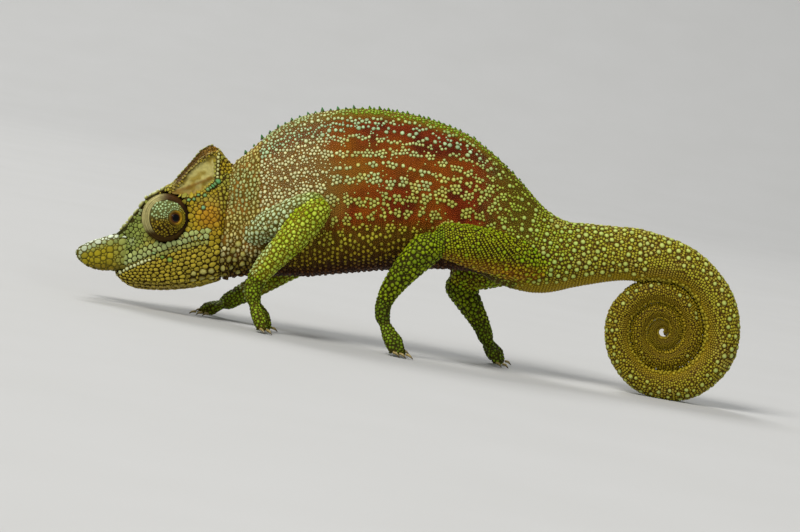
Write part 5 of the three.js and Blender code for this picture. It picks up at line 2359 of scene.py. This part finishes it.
    def eyes(self) -> int:
        """Rings of beads on each eye turret's dome, as far as the folds round it.

        Returns:
            How many scales were laid.
        """
        eye, laid = self.bed.body.eye, 0
        for side in (-1, 1):
            gaze, centre = eye.gaze(side), eye.centre(side)
            back, up = eye.across(gaze, side)
            polar = 0.4
            while polar < 1.5:
                size = float(np.interp(polar, [0.4, 0.6, 0.8, 1.1, 1.4], [0.14, 0.19, 0.23, 0.23, 0.18]))
                count = int(2 * math.pi * math.sin(polar) * eye.dome / (2.04 * size))
                shift = self.rng.random()
                for k in range(count):
                    spin = 2 * math.pi * (k + shift + self.rng.normal(0, 0.1)) / count
                    tilt = polar + self.rng.normal(0, 0.012)
                    away = back * math.cos(spin) + up * math.sin(spin)
                    way = gaze * math.cos(tilt) + math.sin(tilt) * away
                    if float(eye.fold_measures(way[None, :], side)[0][0]) > -0.06:
                        continue
                    spot, _, _ = self.bed.nearest(centre + way * eye.dome)
                    radius, tint = size * (0.82 + 0.3 * self.rng.random()), self.bead_tint(way)
                    heading = np.cross(way, gaze)
                    bead = Scale(radius, 0.1 + 0.3 * size, Form.TUBERCLE, 1.1, 1.1, 0.78, heading, tint)
                    laid += self.bed.lay(spot, way, bead)
                polar += EYE_BEAD_STEP * size / eye.dome
        return laid

    def bead_tint(self, way: np.ndarray) -> np.ndarray:
        """Colour of a bead on the eye turret: mint above, ochre below, yellow just behind the pupil.

        Args:
            way: direction of the bead from the eye's centre.

        Returns:
            A linear colour.
        """
        jitter = 0.8 + 0.35 * self.rng.random()
        upper = smooth(-0.12, 0.2, way[2])
        colour = linear(160, 184, 132) * upper + linear(134, 116, 22) * (1 - upper)
        rear = smooth(0.52, 0.72, way[0])
        return (colour * (1 - rear) + linear(150, 136, 34) * rear) * jitter

    def bare_of_scales(self, spots: np.ndarray, normals: np.ndarray) -> np.ndarray:
        """Where no scale is scattered: on the eye turrets, on slopes down to them and in the horns' root.

        Args:
            spots: places on the skin.
            normals: its normals there.

        Returns:
            True for each place that stays bare.
        """
        bare = (spots[:, 0] < -43.0) & (spots[:, 2] > 8.5) & (normals[:, 0] < -0.6)
        eye = self.bed.body.eye
        for side in (-1, 1):
            gap = spots - eye.centre(side)
            far = np.linalg.norm(gap, axis=1)
            lean = -(normals * gap).sum(axis=1) / far
            bare |= (far < eye.lid + 0.2) | ((far < eye.lid + 0.8) & (lean > 0.3))
        return bare

    def fill(self, wanted: dict[Region, Rule], tries: int) -> int:
        """Scatters scales over what is still bare.

        Args:
            wanted: the rule that gives the scales of each region.
            tries: how many places are tried over the whole skin.

        Returns:
            How many were laid.
        """
        p, tri = self.bed.surface, self.bed.triangles
        a, b, c = p[tri[:, 0]], p[tri[:, 1]], p[tri[:, 2]]
        area = np.linalg.norm(np.cross(b - a, c - a), axis=1)
        chance = np.cumsum(area) / area.sum()
        chosen = np.clip(np.searchsorted(chance, self.rng.random(tries)), 0, len(tri) - 1)
        u, v = self.rng.random(tries), self.rng.random(tries)
        flip = u + v > 1
        u[flip], v[flip] = 1 - u[flip], 1 - v[flip]
        spots = a[chosen] + (b - a)[chosen] * u[:, None] + (c - a)[chosen] * v[:, None]
        normals = unit(self.bed.corner_normals[tri[chosen]].mean(axis=1))
        at = self.bed.body.regions(spots)
        bare = self.bare_of_scales(spots, normals)
        laid = 0
        for k in range(tries):
            rule = wanted.get(int(at["region"][k]))
            if rule is not None and not bare[k]:
                laid += self.lay(Seat(spots[k], normals[k], float(at["rib"][k]), float(at["angle"][k])), rule)
        return laid


def head_rule(share: float) -> Rule:
    """Makes the rule for the plates of cheeks, snout, casque and throat.

    Args:
        share: the plates' size as a share of their full size.

    Returns:
        The rule.
    """

    def rule(seat: Seat) -> Scale | None:
        """A plate, smaller on throat, casque and snout, or none on the temple and in the horns' root."""
        x, _, z = seat.spot
        if x < -44.1 and z > 9.2 or polyline_distance(x, z, HORN_SEAM) < 0.42 or Markings.temple(x, z) > 0.3:
            return None
        if Markings.brown_band(x, z) > 0.5:
            size = 0.24
        elif z > 16.5:
            size = 0.27
        elif x < -38.5:
            size = 0.33
        else:
            size = 0.26 if z < 3.0 else 0.4
        return Scale(size * share, 0.05 + 0.14 * size * share, Form.PLATE, cap=2.2, room=0.72)

    return rule


def scattered(radius: float, height: float, form: Form, aspect: float, cap: float, upright: bool) -> Rule:
    """Makes the rule for scales that are alike all over a region.

    Args:
        radius: their radius.
        height: their height.
        form: their shape.
        aspect: their length over their width.
        cap: how much wider than their radius they may grow.
        upright: whether they stand upright rather than lengthwise.

    Returns:
        The rule.
    """
    scale = Scale(radius, height, form, aspect, cap, FILL_ROOM, (0, 0, 1) if upright else (1, 0, 0))
    return lambda seat: scale


def trunk_bead(seat: Seat) -> Scale | None:
    """Single small beads between the rosettes: close over the shoulder, few on the flank.

    Args:
        seat: a place on the trunk.

    Returns:
        The bead, or None.
    """
    x, _, z = seat.spot
    if seat.rise < LOW_FLANK:
        return None
    scatter = math.sin(x * 12.9898 + z * 78.233) * 43758.5453
    chance = scatter - math.floor(scatter)
    close = float(smooth(-9.0, -15.0, x))
    if chance > 0.1 + 0.7 * close:
        return None
    return Scale(0.15 + 0.12 * close * chance, 0.12, room=FILL_ROOM)


def tail_grain(seat: Seat) -> Scale:
    """Grains between the tail's rings."""
    size = float(np.interp(seat.rib, [9, 14, 24, 36], [0.12, 0.1, 0.08, 0.06]))
    return Scale(size, 0.05, Form.GRANULE, cap=1.25, room=FILL_ROOM)


# ---------------------------------------------------------------------------------------------
# Turning laid scales into pieces
# ---------------------------------------------------------------------------------------------
@dataclass
class Coat:
    """All the scales as a few joined meshes."""

    bed: Bed
    markings: Markings
    rng: np.random.Generator
    gap: float = 0.022

    def outlines(self, corners: int, chosen: np.ndarray, square: bool) -> np.ndarray:
        """How far each scale reaches towards each corner before it meets a neighbour.

        Args:
            corners: how many corners each has.
            chosen: numbers of the scales.
            square: whether a scale with room to spare is rather square than oval.

        Returns:
            One row of lengths for each scale.
        """
        bed = self.bed
        places = np.array(bed.places)
        radii = bed.measured("radius")
        tree = KDTree(len(places))
        for k, place in enumerate(places):
            tree.insert(place, k)
        tree.balance()
        count = 11
        near = np.zeros((len(chosen), count), dtype=int)
        for row, k in enumerate(chosen):
            found = tree.find_n(places[k], count)
            near[row, : len(found)] = [f[1] for f in found]
        near = near[:, 1:]
        along = np.array(bed.headings)[chosen]
        normal = np.array(bed.normals)[chosen]
        across = np.cross(normal, along)
        gap = places[near] - places[chosen][:, None, :]
        gx = np.einsum("nkj,nj->nk", gap, along)
        gy = np.einsum("nkj,nj->nk", gap, across)
        distance = np.hypot(gx, gy) + 1e-9
        mine, theirs = radii[chosen][:, None], radii[near]
        border = distance * mine / (mine + theirs) - self.gap
        turn = np.linspace(0, 2 * np.pi, corners, endpoint=False)
        stretch = np.sqrt(bed.measured("aspect")[chosen])
        cap = radii[chosen] * bed.measured("cap")[chosen]
        reach = np.empty((len(chosen), corners))
        for k, angle in enumerate(turn):
            c, s = math.cos(angle), math.sin(angle)
            facing = (gx * c + gy * s) / distance
            limit = np.where(facing > 0.15, border / np.maximum(facing, 0.15), 1e9).min(axis=1)
            power = 4.0 if square else 2.0
            oval = (np.abs(c / stretch) ** power + np.abs(s * stretch) ** power) ** (-1.0 / power)
            wobble = 1 + 0.05 * self.rng.standard_normal(len(chosen))
            reach[:, k] = np.minimum(limit, cap * oval * wobble)
        return np.maximum(reach, radii[chosen][:, None] * 0.3)

    def chart(self, places: np.ndarray, at: dict[str, np.ndarray]) -> np.ndarray:
        """Places each root on a flat unwrap of the skin, along and around its own length.

        Args:
            places: body places, one row each.
            at: the regions and measures of those places.

        Returns:
            Two numbers for each place.
        """
        line = self.bed.body.line
        u = line.arc_of_index(at["rib"]) / line.arc[-1]
        v = (at["angle"] + math.pi) / (2 * math.pi)
        chart = np.column_stack([u, v])
        limb_regions = [region for region in Region if region >= Region.UPPER_ARM]
        on_limb = np.isin(at["region"], limb_regions)
        for number, limb in enumerate(self.bed.body.limbs):
            mask = on_limb & (at["limb"] == number)
            if not mask.any():
                continue
            upper = np.isin(at["region"][mask], [Region.UPPER_ARM, Region.THIGH])
            share = at["share"][mask]
            centre = np.where(upper[:, None], limb.at(True, share)[0], limb.at(False, share)[0])
            out = places[mask] - centre
            turn = np.arctan2(out[:, 2], out[:, 1] * limb.side)
            spread = np.linalg.norm(places[mask] - limb.points(False)[-1][:3], axis=1) / 8
            beyond = 0.15 * np.clip(spread, 0, 1) * (share > 0.97)
            down = np.where(upper, 0.4 * share, 0.4 + 0.45 * share + beyond)
            chart[mask] = np.column_stack([down, (turn + math.pi) / (2 * math.pi)])
        head = at["region"] == Region.HEAD
        chart[head, 0] = (places[head, 0] + 52) / 26
        chart[head, 1] = (np.arctan2(places[head, 1], places[head, 2] - 10.0) + math.pi) / (2 * math.pi)
        return chart

    def build(self) -> list[bpy.types.Object]:
        """Makes the coat's pieces, split by region and size.

        Returns:
            The coat's pieces.
        """
        bed = self.bed
        places = np.array(bed.places)
        at = bed.body.regions(places)
        tops = self.markings.scale(places, at, self.rng)
        grounds = self.markings.ground(places, at)
        untinted = bed.untinted()
        for k in np.flatnonzero(~untinted):
            tops[k] = bed.scales[k].tint
        grain = untinted & np.array([scale.form in (Form.GRANULE, Form.GRAIN) for scale in bed.scales])
        trunk = at["region"] == Region.TRUNK
        front = trunk * smooth(-8, -16, places[:, 0]) + trunk * smooth(10, 17, places[:, 0])
        mix = np.where(trunk, 0.95 - 0.5 * front, np.where(at["region"] == Region.HEAD, 0.0, 0.5))
        tops[grain] = blend(tops, grounds * np.array([2.4, 2.2, 1.5]), mix)[grain]
        tops = self.markings.by_size(tops, bed.measured("radius"), at, untinted)
        chart = self.chart(places, at)
        groups = {
            "coat_head": [Region.HEAD],
            "coat_neck": [Region.NECK],
            "coat_trunk": [Region.TRUNK],
            "coat_tail": [Region.TAIL],
            "coat_arms": [Region.UPPER_ARM, Region.FOREARM, Region.HAND],
            "coat_legs": [Region.THIGH, Region.SHANK, Region.FOOT],
        }
        pieces = []
        left = places[:, 1] < 0
        costs = np.array([triangle_count(scale.form) for scale in bed.scales])
        for name, regions in groups.items():
            inside = np.isin(at["region"], regions)
            for label, side in (("left", left), ("right", ~left)):
                members = np.flatnonzero(inside & side)
                members = members[np.argsort(chart[members, 0], kind="stable")]
                part = np.cumsum(costs[members]) // PIECE_TRIANGLES
                for number in range(int(part.max(initial=-1)) + 1):
                    title = f"{name}_{label}" + (f"_{number + 1}" if part.max() > 0 else "")
                    pieces.append(self.piece(title, members[part == number], tops, grounds, chart))
        return pieces

    def piece(
        self, name: str, members: np.ndarray, tops: np.ndarray, grounds: np.ndarray, chart: np.ndarray
    ) -> bpy.types.Object:
        """Joins some scales into one piece with its colours and its map.

        Args:
            name: the piece's name.
            members: numbers of its scales.
            tops: colours of all scales.
            grounds: colours of the skin under them.
            chart: places of all roots on the unwrap.

        Returns:
            The new piece.
        """
        bed = self.bed
        forms = np.array([scale.form.name for scale in bed.scales])
        vertices, colours, maps, faces = [], [], [], []
        start = 0
        window = chart[members]
        low, high = window.min(axis=0), window.max(axis=0)
        flat = 0.01 + 0.98 * (window - low) / np.maximum(high - low, 1e-6)
        for form in Form:
            rows = np.flatnonzero(forms[members] == form.name)
            if len(rows) == 0:
                continue
            chosen = members[rows]
            corners, rings, peak = form.value
            reach = self.outlines(corners, chosen, form is Form.PLATE)
            along = np.array(bed.headings)[chosen]
            normal = np.array(bed.normals)[chosen]
            across = np.cross(normal, along)
            root = np.array(bed.places)[chosen]
            height = bed.measured("height")[chosen]
            turn = np.linspace(0, 2 * np.pi, corners, endpoint=False)
            each = corners * len(rings) + 1
            block = np.empty((len(chosen), each, 3))
            shade = np.empty((len(chosen), each, 3))
            spot = np.empty((len(chosen), each, 2))
            for r, (size, lift) in enumerate(rings):
                for k, angle in enumerate(turn):
                    n = r * corners + k
                    c, s = math.cos(angle), math.sin(angle)
                    block[:, n] = (
                        root
                        + (along * c + across * s) * (reach[:, k] * size)[:, None]
                        + normal * (height * lift)[:, None]
                    )
                    spot[:, n] = flat[rows] + 0.5 * BAKE_PATCH * size * np.array([c, s])
                # Painted shade: each scale's foot ring takes the skin's colour darkened, as shade in the gaps
                # between scales; on round tubercles the next ring is darker and yellower, partly their own
                # edge colour and partly painted shade.
                round_scale = form is Form.TUBERCLE
                depth = np.full(len(chosen), (0.08, 0.8, 1.0)[min(2, r + (len(rings) == 2) * (r > 0))])
                rim = tops[chosen] * (np.array([0.72, 0.6, 0.26]) if round_scale and r == 1 else 1.0)
                shade[:, r * corners : (r + 1) * corners] = blend(
                    grounds[chosen] * (0.42 if round_scale else 0.6), rim, depth
                )[:, None, :]
            block[:, -1] = root + normal * (height * peak)[:, None]
            # Painted highlight: the peak is lighter than the scale's colour, most on round tubercles.
            shade[:, -1] = tops[chosen] * (1.2 if form is Form.TUBERCLE else 1.04)
            spot[:, -1] = flat[rows]
            base = start + np.arange(len(chosen))[:, None] * each
            nxt = (np.arange(corners) + 1) % corners
            for r in range(len(rings) - 1):
                k = r * corners + np.arange(corners)
                up = k + corners
                quad = np.stack([k, r * corners + nxt, (r + 1) * corners + nxt, up], axis=-1)
                faces.append((base[:, :, None] + quad[None]).reshape(-1, 4))
            top = (len(rings) - 1) * corners
            tri = np.stack([top + np.arange(corners), top + nxt, np.full(corners, each - 1)], axis=-1)
            faces.append((base[:, :, None] + tri[None]).reshape(-1, 3))
            faces.append(base + np.arange(corners)[::-1][None, :])
            vertices.append(block.reshape(-1, 3))
            colours.append(shade.reshape(-1, 3))
            maps.append(spot.reshape(-1, 2))
            start += len(chosen) * each
        places = bed.body.plane.to_world(np.concatenate(vertices))
        places[:, 2] = np.maximum(places[:, 2], COAT_FLOOR_GAP)
        piece = new_piece(name, places, faces)
        paint(piece, np.concatenate(colours))
        layer = piece.data.uv_layers.new(name=BAKE_MAP)
        corner_of = np.empty(len(piece.data.loops), dtype=np.int32)
        piece.data.loops.foreach_get("vertex_index", corner_of)
        layer.data.foreach_set("uv", np.concatenate(maps)[corner_of].astype(np.float32).ravel())
        piece.data.materials.append(SCALE_FINISH.material())
        return piece


def triangle_count(form: Form) -> int:
    """Triangles in one scale of a form."""
    corners, rings, _ = form.value
    return corners * 2 * (len(rings) - 1) + corners + corners - 2


# ---------------------------------------------------------------------------------------------
# Horns, eyes and claws
# ---------------------------------------------------------------------------------------------
# Share along a horn, half height there
HORN_HALF_HEIGHT = ((-0.2, 0.0, 0.34, 0.62, 0.84, 0.96, 1.0), (3.0, 3.0, 2.75, 2.3, 1.6, 0.85, 0.4))


@dataclass
class Horn:
    """One rostral horn: a blade with large close plates and a pale rim."""

    body: Body
    markings: Markings
    side: int
    label: str
    base: float = -43.2
    tip: float = -50.4
    spread: float = 2.05
    flare: float = 0.4

    def build(self, rng: np.random.Generator) -> tuple[bpy.types.Object, bpy.types.Object]:
        """Makes the horn.

        Args:
            rng: the model's random numbers.

        Returns:
            Its core and its joined plates.
        """
        core = copy_node(f"horn_{self.label}")
        core.name = f"horn_core_{self.label}"
        apply_modifier(core, "REMESH", mode="VOXEL", voxel_size=0.2 * MM, use_smooth_shade=True)
        apply_modifier(core, "SMOOTH", factor=0.5, iterations=8)
        p = self.body.plane.to_body(vertex_places(core) - vertex_normals(core) * 0.02 * MM)
        p[:, 0] += 0.75 * smooth(self.base - 0.9, self.base + 0.1, p[:, 0])
        set_places(core, self.body.plane.to_world(p))
        paint(core, plain((92, 84, 12), len(p)))
        core.data.materials.clear()
        core.data.materials.append(HORN_FINISH.material())
        bed = Bed(core, self.body)
        self.plates(bed, rng)
        coat = Coat(bed, self.markings, rng, gap=0.03)
        tops = self.colour(np.array(bed.places), rng)
        grounds = plain((84, 76, 10), len(bed.places))
        spots = np.array(bed.places)
        chart = np.column_stack([
            (spots[:, 0] + 52) / 10,
            (np.arctan2(spots[:, 1] - self.side * self.spread, spots[:, 2] - 7.5) + math.pi) / (2 * math.pi),
        ])
        shell = coat.piece(f"horn_plates_{self.label}", np.arange(len(bed.places)), tops, grounds, chart)
        shell.data.materials.clear()
        shell.data.materials.append(HORN_FINISH.material())
        return core, shell

    def plates(self, bed: Bed, rng: np.random.Generator) -> None:
        """Lays large plates on the faces and beads along the top and the tip.

        Args:
            bed: the horn's surface.
            rng: the model's random numbers.
        """
        x_rows = np.arange(self.tip + 0.25, self.base + 1.0, 0.98)
        for row, x in enumerate(x_rows):
            share = (x - self.base) / (self.tip - self.base)
            middle = 7.75 - 0.54 * math.sin(math.pi * share * 0.8)
            half = float(np.interp(share, *HORN_HALF_HEIGHT))
            axis_y = self.side * (self.spread + self.flare * share)
            for z in np.arange(middle - half, middle + half + 0.1, 1.0):
                for face in (-1, 1):
                    start = np.array([x + 0.45 * (row % 2) - 0.2 + rng.normal(0, 0.09), axis_y + face * 4.0,
                                      z + 0.5 * (row % 2) + rng.normal(0, 0.09)])
                    hit = bed.shoot(start, face)
                    if hit is not None and hit[1][0] < 0.5:
                        bed.lay(*hit, Scale(0.5, 0.11, Form.PLATE, 1.05, 1.5, 0.72))
        spots, tri = bed.surface, bed.triangles
        for radius in (0.34, 0.22, 0.14):
            for k in rng.permutation(len(tri))[:2500]:
                spot, normal = spots[tri[k]].mean(axis=0), unit(bed.corner_normals[tri[k]].mean(axis=0))
                if normal[0] < 0.5:
                    bed.lay(spot, normal, Scale(radius, 0.05 + 0.14 * radius, Form.PLATE, 1.0, 1.6, 0.9))

    def colour(self, p: np.ndarray, rng: np.random.Generator) -> np.ndarray:
        """Colours the plates: ochre faces, grey-green above, and a pale top edge and tip.

        Args:
            p: body places, one row each.
            rng: the model's random numbers.

        Returns:
            Linear colours, one row each.
        """
        x, z = p[:, 0], p[:, 2]
        share = (x - self.base) / (self.tip - self.base)
        top = np.interp(share, [0, 0.34, 0.62, 0.84, 0.96, 1.0], [10.7, 10.1, 9.4, 8.7, 7.9, 7.4])
        colour = plain(self.markings.horn, len(p))
        colour = layered(
            colour,
            ((140, 150, 76), smooth(0.3, -0.1, share) * 0.8),
            ((126, 138, 74), smooth(1.9, 0.9, top - z)),
            (self.markings.pale_rim, smooth(1.0, 0.3, top - z)),
            ((176, 184, 140), smooth(0.84, 0.97, share)),
            ((112, 92, 16), smooth(6.4, 5.2, z) * 0.7),
        )
        return colour * (1 + 0.09 * rng.standard_normal((len(p), 1)))


@dataclass
class Eye:
    """One eyeball, of which the opening in the turret shows the golden ring and the pupil."""

    body: Body
    side: int
    label: str

    def build(self) -> bpy.types.Object:
        """Makes the ball, clear and bulging in front, with its dark iris and pupil.

        Returns:
            The eyeball.
        """
        eye = self.body.eye
        gaze = eye.gaze(self.side)
        polar = np.concatenate([np.linspace(0.004, 0.42, 40), np.linspace(0.46, math.pi - 0.01, 44)])
        radius = eye.ball + 0.36 * (1 - smooth(0.2, 0.42, polar)) - 0.9 * smooth(1.4, 2.6, polar)
        ball = turned_shell(f"eyeball_{self.label}", self.body, gaze, self.side, polar, radius)
        offset = self.body.plane.to_body(vertex_places(ball)) - eye.centre(self.side)
        spread = np.arccos(np.clip(unit(offset) @ gaze, -1, 1))
        colour = plain((16, 9, 4), len(spread))
        colour = blend(colour, linear(92, 52, 10), smooth(0.15, 0.2, spread) * smooth(0.3, 0.24, spread))
        colour = blend(colour, linear(5, 4, 3), smooth(0.18, 0.15, spread))
        paint(ball, colour)
        ball.data.materials.append(EYE_FINISH.material())
        return ball


@dataclass
class Claws:
    """The claws, each a smoothed copy of its solid that darkens to its tip."""

    body: Body

    def build(self, frame: dict) -> list[tuple[bpy.types.Object, str]]:
        """Makes a piece for each claw.

        Args:
            frame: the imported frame.

        Returns:
            Each piece with the name of the node it stands for.
        """
        made = []
        for part in frame["record"]["subparts"]:
            name = part["node"]
            if part["material_slot"] != "claw":
                continue
            claw = copy_node(name)
            claw.name = f"{name}_smooth"
            apply_modifier(claw, "SUBSURF", levels=2, render_levels=2)
            bpy.ops.object.shade_smooth()
            places = vertex_places(claw)
            low, high = places[:, 2].min(), places[:, 2].max()
            share = (high - places[:, 2]) / max(high - low, 1e-9)
            colour = plain((150, 132, 76), len(places))
            colour = blend(colour, linear(52, 38, 20), smooth(0.2, 1.0, share))
            paint(claw, colour)
            claw.data.materials.append(CLAW_FINISH.material())
            made.append((claw, name))
        return made


# ---------------------------------------------------------------------------------------------
# Studio
# ---------------------------------------------------------------------------------------------
@dataclass(frozen=True)
class Studio:
    """Pale floor, soft lights and the camera, which leans with the animal's own plane."""

    body: Body
    lens: float = 150.0
    sensor: float = 36.0
    view_width: float = 125.0
    elevation: float = math.radians(3.0)
    look_at: tuple[float, float, float] = (0.0, 0.0, 5.3)
    flat: float = 0.9
    rise: float = 0.9

    def floor(self) -> None:
        """A pale floor that rises in one wide curve into the backdrop."""
        bend = np.linspace(0, math.pi / 2, 25)
        profile = [(-3.0, 0.0), (-0.5, 0.0), (0.3, 0.0), (self.flat, 0.0)]
        profile += [(self.flat + self.rise * math.sin(a), self.rise * (1 - math.cos(a))) for a in bend[1:]]
        profile.append((self.flat + self.rise, 4.0))
        across = np.linspace(-4.0, 4.0, 9)
        places = np.array([[x, y, z] for y, z in profile for x in across])
        row, k = len(across), np.arange(len(across) - 1)
        start = np.arange(len(profile) - 1)[:, None] * row
        quads = np.stack([start + k, start + k + 1, start + row + k + 1, start + row + k], axis=-1)
        ground = new_piece("floor", places, [quads.reshape(-1, 4)])
        material = bpy.data.materials.new("pale_floor")
        material.use_nodes = True
        nodes, links = material.node_tree.nodes, material.node_tree.links
        shader = nodes["Principled BSDF"]
        set_inputs(shader, {"Roughness": 0.9, "Specular IOR Level": 0.1})
        where = nodes.new("ShaderNodeTexCoord")
        noise = nodes.new("ShaderNodeTexNoise")
        noise.inputs["Scale"].default_value = 30.0
        links.new(where.outputs["Object"], noise.inputs["Vector"])
        ramp = nodes.new("ShaderNodeValToRGB")
        ramp.color_ramp.elements[0].color = (0.5, 0.5, 0.49, 1)
        ramp.color_ramp.elements[1].color = (0.53, 0.53, 0.525, 1)
        links.new(noise.outputs["Fac"], ramp.inputs["Fac"])
        links.new(ramp.outputs["Color"], shader.inputs["Base Color"])
        ground.data.materials.append(material)

    def light(self, name: str, place: tuple[float, float, float], size: float, power: float,
              colour: tuple[float, float, float]) -> None:
        """Hangs a square soft light that faces the animal.

        Args:
            name: the light's name.
            place: where it hangs, in metres.
            size: its width in metres.
            power: its power in watts.
            colour: its linear colour.
        """
        data = bpy.data.lights.new(name, "AREA")
        data.shape = "SQUARE"
        data.size = size
        data.energy = power
        data.color = colour
        lamp = bpy.data.objects.new(name, data)
        bpy.context.collection.objects.link(lamp)
        lamp.location = place
        lamp.rotation_euler = (Vector((0, 0, 0.015)) - Vector(place)).to_track_quat("-Z", "Y").to_euler()

    def build(self) -> None:
        """Sets the whole studio up."""
        self.floor()
        self.light("key", (-0.9, -1.05, 1.6), 0.9, 36.0, (1.0, 0.98, 0.94))
        self.light("fill", (0.9, -1.5, 0.75), 0.35, 5.0, (0.95, 0.98, 1.0))
        self.light("rim", (-0.5, 0.9, 1.3), 0.7, 12.0, (1.0, 1.0, 1.0))
        world = bpy.data.worlds.new("studio") if bpy.context.scene.world is None else bpy.context.scene.world
        bpy.context.scene.world = world
        world.use_nodes = True
        set_inputs(world.node_tree.nodes["Background"], {"Color": (0.86, 0.88, 0.9, 1), "Strength": 0.36})
        bpy.context.scene.view_settings.view_transform = "Standard"
        self.camera()

    def camera(self) -> None:
        """Places the camera square to the animal's side plane, a little above level."""
        plane = self.body.plane
        target = plane.to_world(np.array([self.look_at]))[0]
        distance = self.view_width * MM * self.lens / self.sensor
        forward = np.array([0.0, math.cos(self.elevation), -math.sin(self.elevation)])
        right = plane.turn(np.array([[1.0, 0.0, 0.0]]))[0]
        right = right - forward * float(right @ forward)
        right /= np.linalg.norm(right)
        up = np.cross(right, forward)
        data = bpy.data.cameras.new("camera")
        data.lens = self.lens
        data.sensor_width = self.sensor
        data.clip_start = 0.01
        camera = bpy.data.objects.new("camera", data)
        bpy.context.collection.objects.link(camera)
        turn = Matrix((right, up, -forward)).transposed()
        camera.matrix_world = Matrix.Translation(Vector(target - forward * distance)) @ turn.to_4x4()
        bpy.context.scene.camera = camera


# ---------------------------------------------------------------------------------------------
# Making the model
# ---------------------------------------------------------------------------------------------
def lay_scales(bed: Bed, rng: np.random.Generator) -> None:
    """Lays every scale of the body, largest and most ordered first.

    Args:
        bed: the skin to lay them on.
        rng: the model's random numbers.
    """
    lattices = Lattices(bed, rng)
    small = scattered(0.22, 0.12, Form.TUBERCLE, 1.0, 1.2, False)
    toe = scattered(0.22, 0.1, Form.TUBERCLE, 1.0, 1.3, True)
    first = {
        Region.HEAD: head_rule(1.0),
        Region.TRUNK: trunk_bead,
        Region.HAND: toe,
        Region.FOOT: toe,
        Region.UPPER_ARM: scattered(0.27, 0.14, Form.TUBERCLE, 1.0, 1.2, False),
        Region.FOREARM: small,
        Region.THIGH: scattered(0.22, 0.12, Form.TUBERCLE, 1.2, 1.2, True),
        Region.SHANK: small,
        Region.NECK: scattered(0.2, 0.12, Form.TUBERCLE, 1.3, 1.2, True),
    }
    grain = scattered(0.14, 0.08, Form.GRANULE, 1.0, 1.3, False)
    last = dict.fromkeys(first, grain) | {Region.HEAD: head_rule(0.45), Region.TAIL: tail_grain}
    del last[Region.TRUNK]
    steps = (
        ("eye turrets", lattices.eyes),
        ("head rows", lattices.head),
        ("ridge", lattices.ridge),
        ("rosettes", lattices.rosettes),
        ("hip", lattices.hip),
        ("neck", lattices.neck),
        ("flank columns", lattices.flank_columns),
        ("limbs", lattices.limbs),
        ("tail", lattices.tail),
        ("first filling", lambda: lattices.fill(first, 50_000)),
        ("head plates", lambda: lattices.fill({Region.HEAD: head_rule(0.7)}, 40_000)),
        ("flank grains", lattices.flank_grains),
        ("grains", lambda: lattices.fill(last, 120_000)),
    )
    for label, step in steps:
        log.info("%s: %d scales", label, step())


def main() -> None:
    """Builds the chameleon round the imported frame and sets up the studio."""
    logging.basicConfig(level=logging.INFO, format="%(name)s: %(message)s")
    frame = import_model()
    body = Body()
    markings = Markings()
    rng = np.random.default_rng(7)

    skin_maker = Skin(body, markings)
    skin = skin_maker.build(frame)
    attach(skin, ROOT)
    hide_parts(*skin_maker.flesh_nodes(frame))
    log.info("skin: %d faces", len(skin.data.polygons))

    bed = Bed(skin, body)
    lay_scales(bed, rng)
    for piece in Coat(bed, markings, rng).build():
        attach(piece, ROOT)
        log.info("%s: %d faces", piece.name, len(piece.data.polygons))

    for side, label in ((-1, "left"), (1, "right")):
        core, shell = Horn(body, markings, side, label).build(rng)
        for piece in (core, shell):
            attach(piece, ROOT)
        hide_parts(f"horn_{label}")
        ball = Eye(body, side, label).build()
        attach(ball, ROOT)
        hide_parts(f"eye_{label}")
        log.info("horn and eye: %s", label)

    for claw, node in Claws(body).build(frame):
        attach(claw, ROOT)
        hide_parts(node)

    Studio(body).build()


if __name__ == "__main__":
    main()
